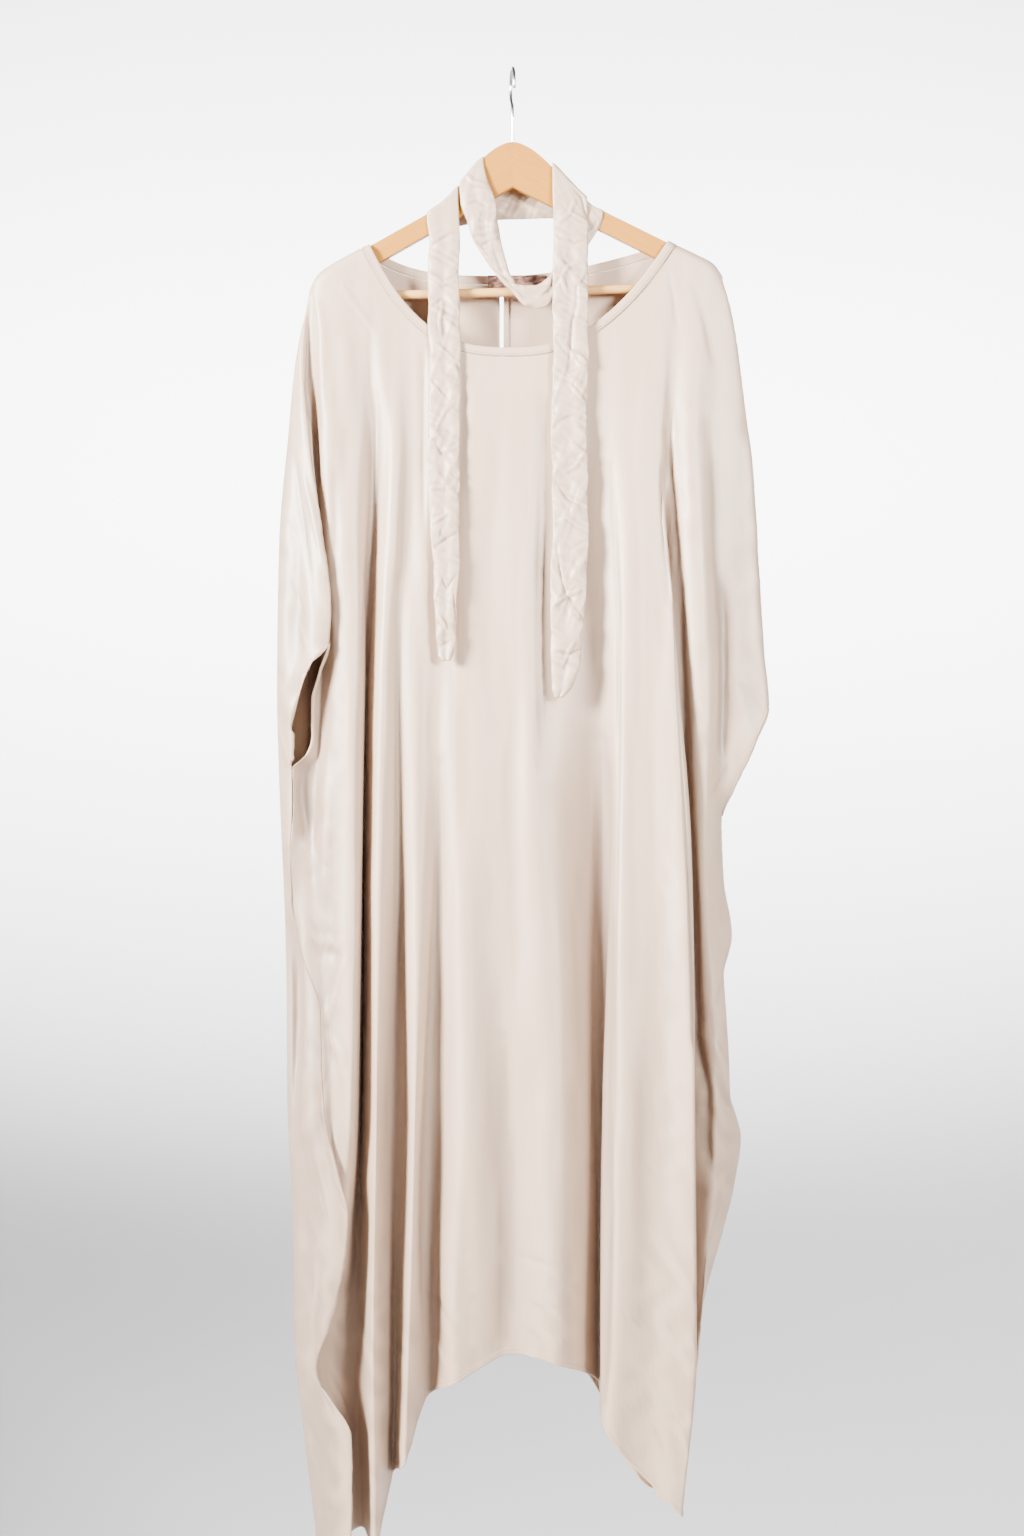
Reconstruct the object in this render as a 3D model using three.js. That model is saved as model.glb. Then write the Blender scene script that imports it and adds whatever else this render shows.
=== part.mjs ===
import * as THREE from 'three';

// A square-cut satin kaftan on a wooden hanger, with its own sash wound round the hanger.
// Millimetres, +Z up. The origin is the point inside the top of the hook, where the hanger is held.
// "Left" and "right" are as seen from the front, which looks along +Y. A "drop" is a distance
// below the origin, so z is minus the drop.

// Cloth
const WALL = 1.4; // thickness of the body cloth's solid
const SEAM_GAP = 0.3; // space between two pieces that are sewn together
const LINE_STEPS = 2; // columns of the wall between two fold lines
const ROW_BANDS = [ // rows of the wall, closer together beside the cuff openings
  { until: 0.27, rows: 6 }, { until: 0.45, rows: 9 }, { until: 1, rows: 16 },
];
const SHOULDER_ROUND = 10; // how far down the cloth bends over the arm's top
const SHOULDER_DROPS = [0, 1.2, 4, 9]; // rows that make that bend, below the top edge
const NECK_POINT_STEPS = [0.7, 2]; // columns that take the neckline over the arm

// Hanger
const ARM_REACH = 217.5; // from the middle to the tip of an arm
const ARM_THICK = 13;
const ARM_HEIGHT = 23.3; // measured straight down
const ARM_APEX = 107; // drop of the arms' top lines where they would meet
const ARM_SLOPE = THREE.MathUtils.degToRad(27.8);
const HANGER_TILT = THREE.MathUtils.degToRad(1.5); // right arm up
const CREST_DROP = 80; // top of the hump that carries the hook
const HUMP_END = 95; // where the hump runs out into the straight arm
const BAR_DROP = 244.6;
const BAR_RADIUS = 5;
const BAR_HALF = 199.7;
const FOOT_X = 200; // inner face of the foot that takes the bar

// Hook
const WIRE_RADIUS = 1.7;
const HOOK_RADIUS = 19; // of the wire's middle line
const HOOK_TURN = THREE.MathUtils.degToRad(6);
const HOOK_END = THREE.MathUtils.degToRad(200); // angle of the free end, from the back

// Neckline
const NECK = {
  middle: 7, half: 164, top: 190.9, tilt: 1.9, band: 10, bandThick: 2.2,
  frontDeep: 117, frontLeftPower: 3, frontRightPower: 2.2,
  backDeep: 33, backLeftPower: 3.8, backRightPower: 1.6,
};
const BACK_SLIT = { bottom: 350, halfGap: 2, facing: 6.5, facingThick: 1 };
const LABEL = { left: -27, right: 37, top: 224, bottom: 238, thick: 0.9 };
const CUFF_BINDING = { width: 5, thick: 1.2 };

// Sash
const SASH_THICK = 2;
const SASH_COLUMNS = 4;

// Fold lines of the body cloth. Each row is one ridge or valley that runs down the cloth, with its
// x and y at the seven levels and the drop of the hem below it.
const LEVELS = [247, 420, 640, 860, 1130, 1400, 1566];
const TURN_LEVELS = [247, 313, 389, 520, 640, 700, 768, 912, 1032, 1130, 1252, 1400, 1490, 1634];

const FRONT_FOLDS = [
  { name: 'crease behind the sleeve', hem: 1618,
    x: [-221, -217, -208, -219, -196, -218, -182], y: [-4, -18, -22, -38, -56, -44, -50] },
  { name: 'left column, soft edge', hem: 1612,
    x: [-214, -206, -193, -205, -186, -208, -186], y: [-9, -34, -46, -48, -62, -28, -32] },
  { name: 'left column, sharp edge', hem: 1606,
    x: [-190, -175, -167, -169, -174, -190, -178], y: [-12, -34, -50, -58, -66, -18, -18] },
  { name: 'deep left valley', hem: 1600,
    x: [-175, -150, -159, -163, -165, -172, -165], y: [-12, -26, -20, -16, -16, -16, -16] },
  { name: 'narrow left ridge', hem: 1608,
    x: [-158, -132, -141, -146, -147, -151, -149], y: [-12, -34, -48, -56, -64, -68, -68] },
  { name: 'second left valley', hem: 1539,
    x: [-129, -109, -123, -123, -130, -129, -131], y: [-12, -28, -38, -34, -24, -22, -22] },
  { name: 'second left ridge', hem: 1523,
    x: [-98, -92, -99, -101, -106, -113, -118], y: [-12, -32, -44, -52, -58, -60, -60] },
  { name: 'third left valley', hem: 1452,
    x: [-74, -76, -80, -81, -85, -90, -92], y: [-12, -31, -40, -42, -34, -28, -28] },
  { name: 'broad left ridge', hem: 1435,
    x: [-50, -58, -62, -58, -52, -62, -64], y: [-12, -32, -43, -50, -58, -62, -62] },
  { name: 'soft middle', hem: 1405,
    x: [0, -6, -8, -9, -1, 0, 0], y: [-12, -30, -41, -46, -50, -46, -46] },
  { name: 'broad right ridge', hem: 1415,
    x: [38, 24, 18, 34, 51, 51, 51], y: [-12, -31, -44, -52, -60, -66, -66] },
  { name: 'deep middle valley', hem: 1441,
    x: [95, 100, 95, 95, 93, 94, 94], y: [-12, -28, -30, -18, -16, -16, -16] },
  { name: 'right column, inner edge', hem: 1485,
    x: [122, 124, 118, 112, 107, 101, 101], y: [-12, -33, -46, -56, -66, -72, -72] },
  { name: 'right column, middle', hem: 1542,
    x: [145, 144, 149, 155, 155, 149, 150], y: [-12, -33, -44, -52, -60, -68, -70] },
  { name: 'right column, sharp edge', hem: 1575,
    x: [168, 163, 179, 192, 197, 199, 184], y: [-12, -34, -50, -62, -72, -78, -80] },
  { name: 'deep right valley', hem: 1560,
    x: [180, 172, 160, 177, 183, 190, 172], y: [-12, -24, -18, -16, -16, -18, -30] },
  { name: 'right sleeve ridge', hem: 1548,
    x: [200, 194, 202, 208, 220, 203, 176], y: [-12, -32, -40, -42, -42, -36, -44] },
  { name: 'right sleeve valley', hem: 1545,
    x: [220, 226, 236, 222, 236, 200, 172], y: [-8, -20, -24, -28, -30, -28, -36] },
];

// The back's fold lines run on from the right side seam, round behind, to the left side seam.
const BACK_RIGHT_FOLDS = [
  { name: 'behind the right seam', hem: 1574,
    x: [216, 240, 256, 222, 236, 188, 166], y: [9, 12, 10, 8, 2, 2, -2] },
  { name: 'right back valley', hem: 1575,
    x: [194, 208, 216, 206, 214, 184, 160], y: [12, 14, 14, 12, 10, 12, 10] },
  { name: 'right back ridge', hem: 1570,
    x: [168, 172, 178, 180, 188, 170, 156], y: [12.5, 30, 42, 48, 52, 44, 38] },
  { name: 'inner right back valley', hem: 1548,
    x: [138, 136, 138, 142, 146, 140, 136], y: [13, 22, 22, 18, 16, 16, 16] },
  { name: 'inner right back ridge', hem: 1478,
    x: [104, 98, 98, 102, 106, 104, 104], y: [14, 30, 44, 54, 60, 60, 60] },
  { name: 'middle right back valley', hem: 1415,
    x: [68, 62, 60, 62, 64, 64, 64], y: [15, 24, 28, 24, 20, 20, 20] },
  { name: 'middle right back ridge', hem: 1403,
    x: [30, 26, 26, 28, 32, 34, 34], y: [16, 28, 40, 48, 52, 52, 52] },
];

const BACK_MIDDLE = { name: 'centre back seam', hem: 1400,
  x: [-12, -12, -11, -9, -6, -5, -5], y: [16, 26, 34, 36, 38, 38, 38] };

const BACK_LEFT_FOLDS = [
  { name: 'middle left back ridge', hem: 1404,
    x: [-50, -46, -46, -46, -42, -40, -40], y: [16, 28, 38, 44, 46, 46, 46] },
  { name: 'middle left back valley', hem: 1425,
    x: [-88, -80, -78, -80, -78, -74, -74], y: [15, 24, 28, 28, 26, 26, 26] },
  { name: 'inner left back ridge', hem: 1480,
    x: [-122, -116, -112, -114, -114, -110, -110], y: [14, 30, 42, 50, 56, 58, 58] },
  { name: 'inner left back valley', hem: 1540,
    x: [-150, -152, -152, -152, -150, -146, -142], y: [13, 24, 24, 20, 18, 18, 18] },
  { name: 'left back ridge', hem: 1585,
    x: [-172, -186, -192, -196, -190, -184, -178], y: [12.5, 30, 44, 52, 56, 58, 56] },
  { name: 'left back valley', hem: 1600,
    x: [-192, -218, -226, -226, -216, -208, -196], y: [12, 14, 14, 14, 14, 14, 12] },
  { name: 'behind the left turn', hem: 1604,
    x: [-203, -236, -246, -246, -236, -226, -210], y: [11, 20, 18, 20, 16, 16, 10] },
  { name: 'left turn', hem: 1612, levels: TURN_LEVELS,
    x: [-217, -236, -245, -256.5, -258, -258, -256.5, -251, -248, -246.5, -241, -238, -228, -212],
    y: [7.5, 3, 0, -6, -8, -8, 0, -2, -8, -8, -10, -10, -14, -12] },
  { name: 'left rim', hem: 1622, levels: TURN_LEVELS,
    x: [-221, -237, -244, -251, -253, -254, -254.5, -250.8, -245, -244, -238, -236, -224, -206],
    y: [5, -5, -14, -26, -32, -34, -22, -18, -30, -34, -34, -38, -42, -40] },
  { name: 'left strip trough', hem: 1628, levels: TURN_LEVELS,
    x: [-222.8, -235, -236, -232, -232, -247, -250, -249.5, -234, -234, -218, -230, -206, -194],
    y: [3, -10, -24, -40, -46, -48, -32, -28, -38, -42, -48, -50, -54, -52] },
  { name: 'left strip ridge', hem: 1632, levels: TURN_LEVELS,
    x: [-223.4, -233, -229, -219, -215, -240, -245, -247.5, -222, -220, -200, -220, -190, -184],
    y: [1.5, -13, -30, -46, -56, -56, -40, -36, -50, -56, -64, -58, -70, -66] },
];

// The side edges of the panels: the sleeve's hanging top edge, the cuff opening and the side seam.
// In the cuff opening the front edge and the back edge part, from its first row to its last.
const LEFT_EDGE = { hem: 1634, path: [
  { drop: 241, x: -223, y: -1 }, { drop: 313, x: -231, y: -14 }, { drop: 389, x: -222, y: -30 },
  { drop: 438, x: -217, y: -38 }, { drop: 520, x: -206, y: -48 }, { drop: 596, x: -197, y: -56 },
  { drop: 634, x: -199, y: -57 }, { drop: 768, x: -240, y: -44 }, { drop: 803, x: -239, y: -44 },
  { drop: 869, x: -243, y: -43 }, { drop: 912, x: -244, y: -42 }, { drop: 967, x: -232, y: -46 },
  { drop: 1032, x: -208, y: -54 }, { drop: 1099, x: -206, y: -58 }, { drop: 1152, x: -202, y: -60 },
  { drop: 1207, x: -189, y: -64 }, { drop: 1252, x: -178, y: -68 }, { drop: 1305, x: -183, y: -68 },
  { drop: 1370, x: -198, y: -62 }, { drop: 1419, x: -212, y: -60 }, { drop: 1452, x: -194, y: -66 },
  { drop: 1490, x: -174, y: -72 }, { drop: 1545, x: -173, y: -74 }, { drop: 1634, x: -176, y: -72 },
] };
const LEFT_CUFF = {
  front: [
    { drop: 634, x: -199, y: -57 }, { drop: 664, x: -210, y: -46 }, { drop: 694, x: -219, y: -40 },
    { drop: 732, x: -219, y: -38 }, { drop: 757, x: -226, y: -41 }, { drop: 768, x: -240, y: -44 },
  ],
  back: [
    { drop: 634, x: -199, y: -57 }, { drop: 656, x: -219, y: -60 }, { drop: 694, x: -232, y: -58 },
    { drop: 738, x: -241, y: -50 }, { drop: 768, x: -240, y: -44 },
  ],
};
const RIGHT_EDGE = { hem: 1573, path: [
  { drop: 232, x: 231, y: -1 }, { drop: 264, x: 240, y: -2 }, { drop: 297, x: 246, y: -3 },
  { drop: 370, x: 255, y: -6 }, { drop: 424, x: 262, y: -8 }, { drop: 498, x: 268, y: -10 },
  { drop: 629, x: 275, y: -12 }, { drop: 700, x: 280, y: -12 }, { drop: 825, x: 228, y: -12 },
  { drop: 890, x: 230, y: -14 }, { drop: 951, x: 238, y: -15 }, { drop: 994, x: 229, y: -20 },
  { drop: 1043, x: 219, y: -24 }, { drop: 1098, x: 226, y: -20 }, { drop: 1152, x: 244, y: -17 },
  { drop: 1174, x: 248, y: -17 }, { drop: 1228, x: 241, y: -16 }, { drop: 1283, x: 227, y: -14 },
  { drop: 1338, x: 212, y: -13 }, { drop: 1381, x: 202, y: -12 }, { drop: 1573, x: 170, y: -20 },
] };
const RIGHT_CUFF = {
  front: [
    { drop: 700, x: 280, y: -12 }, { drop: 743, x: 265, y: -20 }, { drop: 792, x: 241, y: -20 },
    { drop: 825, x: 228, y: -12 },
  ],
  back: [
    { drop: 700, x: 280, y: -12 }, { drop: 743, x: 264, y: 3 }, { drop: 792, x: 240, y: 3 },
    { drop: 825, x: 228, y: -12 },
  ],
};

// The line along the top of the shoulders, from tip to tip, over the hanger's arms.
const SHOULDER_LINE = [
  { x: -224, drop: 246 }, { x: -221, drop: 238 }, { x: -214.5, drop: 226 }, { x: -205, drop: 218.4 },
  { x: -150, drop: 187.9 }, { x: 0, drop: 105 }, { x: 150, drop: 178.9 }, { x: 205, drop: 205 },
  { x: 219.5, drop: 212.5 }, { x: 230, drop: 226 }, { x: 236, drop: 240 },
];

// The sash, in the four stretches that show. Each row is a section across it.
const LEFT_TAIL = [
  { drop: 186, left: -92, right: -58, y: -10 }, { drop: 230, left: -92, right: -58, y: -13 },
  { drop: 290, left: -92, right: -57, y: -22 }, { drop: 360, left: -91, right: -57, y: -32 },
  { drop: 430, left: -92, right: -57, y: -40 }, { drop: 490, left: -91, right: -58, y: -45 },
  { drop: 536, left: -88, right: -58, y: -48 }, { drop: 580, left: -85, right: -60, y: -51 },
  { drop: 620, left: -83, right: -61, y: -53 }, { drop: 645, left: -81, right: -64, y: -54 },
  { drop: 652, left: -77, right: -67, y: -54 },
];
const RIGHT_TAIL = [
  { drop: 180, left: 44, right: 82, y: -14 }, { drop: 230, left: 44, right: 83, y: -19 },
  { drop: 290, left: 44, right: 83, y: -26 }, { drop: 360, left: 43, right: 82, y: -34 },
  { drop: 430, left: 43, right: 82, y: -40 }, { drop: 500, left: 43, right: 82, y: -44 },
  { drop: 560, left: 42, right: 82, y: -47 }, { drop: 620, left: 42, right: 77, y: -50 },
  { drop: 655, left: 42, right: 73, y: -51 }, { drop: 682, left: 43, right: 64, y: -51 },
  { drop: 692, left: 46, right: 55, y: -51 },
];
const LOOP = [
  { outer: [-57, 148], inner: [-29, 119], y: -10 }, { outer: [-53, 162], inner: [-21, 142], y: -11 },
  { outer: [-43, 189], inner: [-16, 169], y: -12 }, { outer: [-27, 214], inner: [-10, 196], y: -12.5 },
  { outer: [-14, 232], inner: [-3, 224], y: -13 }, { outer: [0, 247], inner: [4, 236], y: -13.5 },
  { outer: [15, 262], inner: [15, 239], y: -14 }, { outer: [27, 265], inner: [27, 238], y: -14 },
  { outer: [43, 256], inner: [41, 225], y: -12.5 }, { outer: [62, 231], inner: [51, 193], y: -10.5 },
  { outer: [83, 195], inner: [58, 164], y: -9 },
];
const BACK_STRETCH = [
  { x: -88, top: 150, bottom: 176 }, { x: -60, top: 138, bottom: 170 }, { x: -20, top: 128, bottom: 163 },
  { x: 12, top: 126, bottom: 162 }, { x: 44, top: 128, bottom: 161 }, { x: 75, top: 140, bottom: 164 },
  { x: 94, top: 150, bottom: 172 },
];
const BACK_STRETCH_Y = 14.6;
const WRAP_STEPS = 8;
const WRAP_SIDE = 4; // how far down the arm's faces a wrapped band reaches

// Materials
const cloth = new THREE.MeshStandardMaterial({ color: 0xded3cb, roughness: 0.45, metalness: 0 });
const wood = new THREE.MeshStandardMaterial({ color: 0xe8c49a, roughness: 0.5, metalness: 0 });
const steel = new THREE.MeshStandardMaterial({ color: 0xc9cbce, roughness: 0.25, metalness: 1 });
const woven = new THREE.MeshStandardMaterial({ color: 0xa07c70, roughness: 0.8, metalness: 0 });

const mix = (a, b, share) => a + (b - a) * share;

// A smooth curve through rising knots that never overshoots them.
function smoothCurve(knots, values) {
  const steps = knots.slice(1).map((knot, i) => knot - knots[i]);
  const slopes = steps.map((step, i) => (values[i + 1] - values[i]) / step);
  const tangents = values.map((value, i) => {
    if (i === 0) return slopes[0];
    if (i === values.length - 1) return slopes[i - 1];
    if (slopes[i - 1] * slopes[i] <= 0) return 0;
    return 2 / (1 / slopes[i - 1] + 1 / slopes[i]);
  });
  return (at) => {
    const clamped = THREE.MathUtils.clamp(at, knots[0], knots[knots.length - 1]);
    let i = 0;
    while (i < steps.length - 1 && clamped > knots[i + 1]) i += 1;
    const t = (clamped - knots[i]) / steps[i];
    const [t2, t3] = [t * t, t * t * t];
    return values[i] * (2 * t3 - 3 * t2 + 1) + tangents[i] * steps[i] * (t3 - 2 * t2 + t)
      + values[i + 1] * (3 * t2 - 2 * t3) + tangents[i + 1] * steps[i] * (t3 - t2);
  };
}

// Bisection for the place between low and high where a function changes sign.
function crossing(low, high, difference) {
  let [a, b] = [low, high];
  const rising = difference(a) < 0;
  for (let i = 0; i < 40; i += 1) {
    const middle = (a + b) / 2;
    if ((difference(middle) < 0) === rising) a = middle;
    else b = middle;
  }
  return (a + b) / 2;
}

function foldLine(row) {
  const levels = row.levels ?? LEVELS;
  return { hem: row.hem, x: smoothCurve(levels, row.x), y: smoothCurve(levels, row.y) };
}

function edgeLine(edge, cuff) {
  const [first, last] = [cuff[0].drop, cuff[cuff.length - 1].drop];
  const path = [
    ...edge.path.filter((row) => row.drop < first), ...cuff, ...edge.path.filter((row) => row.drop > last),
  ];
  const drops = path.map((row) => row.drop);
  return {
    hem: edge.hem,
    x: smoothCurve(drops, path.map((row) => row.x)),
    y: smoothCurve(drops, path.map((row) => row.y)),
  };
}

// The closed ring of fold lines: the front from left to right, then the back from right to left.
function ringOf(side) {
  return [
    edgeLine(LEFT_EDGE, LEFT_CUFF[side]), ...FRONT_FOLDS.map(foldLine),
    edgeLine(RIGHT_EDGE, RIGHT_CUFF[side]), ...BACK_RIGHT_FOLDS.map(foldLine),
    foldLine(BACK_MIDDLE), ...BACK_LEFT_FOLDS.map(foldLine),
  ];
}

const RIGHT_SIDE = FRONT_FOLDS.length + 1;
const CENTRE_BACK = RIGHT_SIDE + BACK_RIGHT_FOLDS.length + 1;
const RING_SIZE = CENTRE_BACK + BACK_LEFT_FOLDS.length + 1;
const rings = { front: ringOf('front'), back: ringOf('back') };

const shoulderDrop = smoothCurve(
  SHOULDER_LINE.map((row) => row.x), SHOULDER_LINE.map((row) => row.drop));

// A centripetal curve between two fold lines, which rounds each ridge and valley.
function between(points, share) {
  const [p0, p1, p2, p3] = points;
  const length = (a, b) => Math.max(Math.sqrt(Math.hypot(b[0] - a[0], b[1] - a[1])), 1e-3);
  const t1 = length(p0, p1);
  const t2 = t1 + length(p1, p2);
  const t3 = t2 + length(p2, p3);
  const t = mix(t1, t2, share);
  const blend = (a, b, from, to) => a.map((value, k) => mix(value, b[k], (t - from) / (to - from)));
  const a1 = blend(p0, p1, 0, t1);
  const a2 = blend(p1, p2, t1, t2);
  const a3 = blend(p2, p3, t2, t3);
  return blend(blend(a1, a2, 0, t2), blend(a2, a3, t1, t3), t1, t2);
}

// How far the cloth has bent round the arm's top: 0 on the shoulder line, 1 below the bend.
function bendAt(x, drop) {
  const under = THREE.MathUtils.clamp((drop - shoulderDrop(x)) / SHOULDER_ROUND, 0, 1);
  return Math.sqrt(1 - (1 - under) ** 2);
}

// The place on a ring of fold lines at a drop.
function ringAt(ring, u, drop) {
  const i = Math.floor(u);
  const points = [-1, 0, 1, 2].map((step) => {
    const line = ring[(i + step + RING_SIZE) % RING_SIZE];
    return [line.x(drop), line.y(drop)];
  });
  return between(points, u - i);
}

// The middle of the cloth at a place round the ring and a drop.
function clothAt(ring, u, drop) {
  const [x, y] = ringAt(ring, u, drop);
  return new THREE.Vector3(x, y * bendAt(x, drop), -drop);
}

function outwardAt(ring, u, drop) {
  const across = clothAt(ring, u + 0.01, drop).sub(clothAt(ring, u - 0.01, drop));
  const down = clothAt(ring, u, drop + 0.5).sub(clothAt(ring, u, drop - 0.5));
  return down.cross(across).normalize();
}

const hemCurve = (ring) => smoothCurve(
  [...ring.keys(), RING_SIZE], [...ring.map((line) => line.hem), ring[0].hem]);

// A point of the neckline: t runs from -1, the left neck point, to 1, the right one, and
// away is the distance from the edge into the cloth.
function necklineAt(part, t, away) {
  const deep = NECK[`${part}Deep`];
  const power = t < 0 ? NECK[`${part}LeftPower`] : NECK[`${part}RightPower`];
  const x = NECK.middle + NECK.half * t;
  const drop = NECK.top - NECK.tilt * t + deep * (1 - Math.abs(t) ** power);
  const slope = -Math.sign(t) * deep * power * Math.abs(t) ** (power - 1) / NECK.half;
  const normal = new THREE.Vector2(-slope, 1).normalize();
  const alongArm = new THREE.Vector2(
    Math.sign(t) * Math.cos(ARM_SLOPE), Math.sin(ARM_SLOPE));
  normal.lerp(alongArm, THREE.MathUtils.smoothstep(Math.abs(t), 0.8, 1)).normalize();
  return { x: x + normal.x * away, drop: drop + normal.y * away };
}

// The top edge of a column: on the neckline, or else on the shoulder line.
function topOf(part, ring, u) {
  const away = NECK.band + SEAM_GAP;
  const miss = (t) => {
    const point = necklineAt(part, t, away);
    return clothAt(ring, u, point.drop).x - point.x;
  };
  const atPoint = [-1, 1].find((end) => Math.abs(miss(end)) < 0.01);
  if (atPoint || (miss(-1) > 0 && miss(1) < 0)) {
    const t = atPoint ?? crossing(-1, 1, miss);
    return { drop: necklineAt(part, t, away).drop, neck: t, onRidge: Math.abs(t) > 0.9999 };
  }
  const drop = crossing(170, 300, (at) => at - shoulderDrop(clothAt(ring, u, at).x));
  return { drop, neck: null, onRidge: true };
}

// Places round the ring for the columns of a panel, with one moved onto each neck point.
function columnsOf(part, ring, from, to) {
  const count = (to - from) * LINE_STEPS;
  const columns = Array.from({ length: count + 1 }, (unused, i) => from + i / LINE_STEPS);
  for (const end of [-1, 1]) {
    const corner = necklineAt(part, end, NECK.band + SEAM_GAP);
    const miss = (u) => clothAt(ring, u, corner.drop).x - corner.x;
    if ((miss(from) < 0) === (miss(to) < 0)) continue;
    const place = crossing(from, to, miss);
    const nearest = columns.findIndex((u) => Math.abs(u - place) <= 0.5 / LINE_STEPS);
    columns[nearest] = place;
    for (const away of NECK_POINT_STEPS) {
      const x = corner.x - end * away;
      columns.push(crossing(from, to, (u) => clothAt(ring, u, corner.drop + 3 * away).x - x));
    }
  }
  return columns.sort((a, b) => a - b);
}

// A closed wall round a grid of middle points and their outward directions.
function wallGeometry(middles, outwards, thickness, closedAcross = false) {
  const rows = middles.length;
  const columns = middles[0].length;
  const positions = [];
  for (const side of [0.5, -0.5]) {
    middles.forEach((row, j) => row.forEach((point, i) => {
      positions.push(...point.clone().addScaledVector(outwards[j][i], side * thickness).toArray());
    }));
  }
  const index = [];
  const id = (layer, j, i) => layer * rows * columns + j * columns + (i % columns);
  const quad = (a, b, c, d) => index.push(a, b, c, a, c, d);
  const spans = closedAcross ? columns : columns - 1;
  for (let j = 0; j < rows - 1; j += 1) {
    for (let i = 0; i < spans; i += 1) {
      quad(id(0, j, i), id(0, j + 1, i), id(0, j + 1, i + 1), id(0, j, i + 1));
      quad(id(1, j, i), id(1, j, i + 1), id(1, j + 1, i + 1), id(1, j + 1, i));
    }
  }
  for (let i = 0; i < spans; i += 1) {
    quad(id(0, 0, i), id(0, 0, i + 1), id(1, 0, i + 1), id(1, 0, i));
    quad(id(0, rows - 1, i), id(1, rows - 1, i), id(1, rows - 1, i + 1), id(0, rows - 1, i + 1));
  }
  for (let j = 0; j < rows - 1 && !closedAcross; j += 1) {
    quad(id(0, j, 0), id(1, j, 0), id(1, j + 1, 0), id(0, j + 1, 0));
    const last = columns - 1;
    quad(id(0, j, last), id(0, j + 1, last), id(1, j + 1, last), id(1, j, last));
  }
  const geometry = new THREE.BufferGeometry();
  geometry.setAttribute('position', new THREE.Float32BufferAttribute(positions, 3));
  geometry.setIndex(index);
  if (enclosedVolume(geometry) < 0) turnInsideOut(geometry);
  return geometry;
}

function enclosedVolume(geometry) {
  const points = geometry.getAttribute('position');
  const corner = (k) => new THREE.Vector3().fromBufferAttribute(points, geometry.index.getX(k));
  let volume = 0;
  for (let k = 0; k < geometry.index.count; k += 3) {
    volume += corner(k).dot(corner(k + 1).cross(corner(k + 2))) / 6;
  }
  return volume;
}

function turnInsideOut(geometry) {
  const turned = [...geometry.index.array];
  for (let k = 0; k < turned.length; k += 3) [turned[k], turned[k + 1]] = [turned[k + 1], turned[k]];
  geometry.setIndex(turned);
}

// Outward directions of a free-standing grid, from its own points.
function gridOutwards(grid, closedAcross = false) {
  const [rows, columns] = [grid.length, grid[0].length];
  const column = (i) => (closedAcross ? (i + columns) % columns : THREE.MathUtils.clamp(i, 0, columns - 1));
  return grid.map((row, j) => row.map((unused, i) => {
    const across = row[column(i + 1)].clone().sub(row[column(i - 1)]);
    const down = grid[Math.min(j + 1, rows - 1)][i].clone().sub(grid[Math.max(j - 1, 0)][i]);
    return down.cross(across).normalize();
  }));
}

function rowShares() {
  let from = 0;
  return ROW_BANDS.flatMap(({ until, rows }) => {
    const start = from;
    from = until;
    return Array.from({ length: rows }, (unused, j) => mix(start, until, (j + 1) / rows));
  });
}

// The grid of a body panel, kept as { columns, points, outwards } for what is sewn onto it.
function panelGrid(part, from, to, gapAt) {
  const ring = rings[part];
  const hem = hemCurve(ring);
  const columns = columnsOf(part, ring, from, to);
  const tops = columns.map((u) => topOf(part, ring, u));
  const points = [];
  const outwards = [];
  const bend = SHOULDER_DROPS[SHOULDER_DROPS.length - 1];
  const rowDrops = (top, bottom) => [
    ...SHOULDER_DROPS.map((drop) => top + drop),
    ...rowShares().map((share) => mix(top + bend, bottom, share)),
  ];
  const drops = columns.map((u, i) => rowDrops(tops[i].drop, hem(u)));
  for (let j = 0; j < drops[0].length; j += 1) {
    points.push([]);
    outwards.push([]);
    columns.forEach((u, i) => {
      const drop = drops[i][j];
      const point = clothAt(ring, u, drop);
      const outward = outwardAt(ring, u, drop);
      if (j === 0 && tops[i].onRidge) {
        outward.setY(0).normalize();
        point.y = (part === 'front' ? -1 : 1) * SEAM_GAP / 2;
      }
      const step = i === 0 ? 0.02 : -0.02;
      if (i === 0 || i === columns.length - 1) {
        const inward = clothAt(ring, u + step, drop).sub(clothAt(ring, u, drop)).setZ(0).normalize();
        point.addScaledVector(inward, gapAt(i === 0 ? from : to, drop));
      }
      points[j].push(point);
      outwards[j].push(outward);
    });
  }
  return { columns, tops, points, outwards };
}

// Half the space at a panel's side edge, a little wider where a cuff opening closes.
function sideGap(u, drop) {
  const cuff = u === RIGHT_SIDE ? RIGHT_CUFF.front : LEFT_CUFF.front;
  const below = drop - cuff.at(-1).drop;
  return below > -40 && below < 60 ? 2 * SEAM_GAP : SEAM_GAP / 2;
}

function centreBackGap(u, drop) {
  if (u !== CENTRE_BACK) return sideGap(u, drop);
  const closed = THREE.MathUtils.smoothstep(drop, BACK_SLIT.bottom - 40, BACK_SLIT.bottom);
  return mix(BACK_SLIT.halfGap, SEAM_GAP / 2, closed);
}

const panels = {
  front: panelGrid('front', 0, RIGHT_SIDE, sideGap),
  back_right: panelGrid('back', RIGHT_SIDE, CENTRE_BACK, centreBackGap),
  back_left: panelGrid('back', CENTRE_BACK, RING_SIZE, centreBackGap),
};

function bodyPanels() {
  return Object.entries(panels).map(([name, panel]) => {
    const mesh = new THREE.Mesh(wallGeometry(panel.points, panel.outwards, WALL), cloth);
    mesh.name = name;
    return mesh;
  });
}

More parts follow.
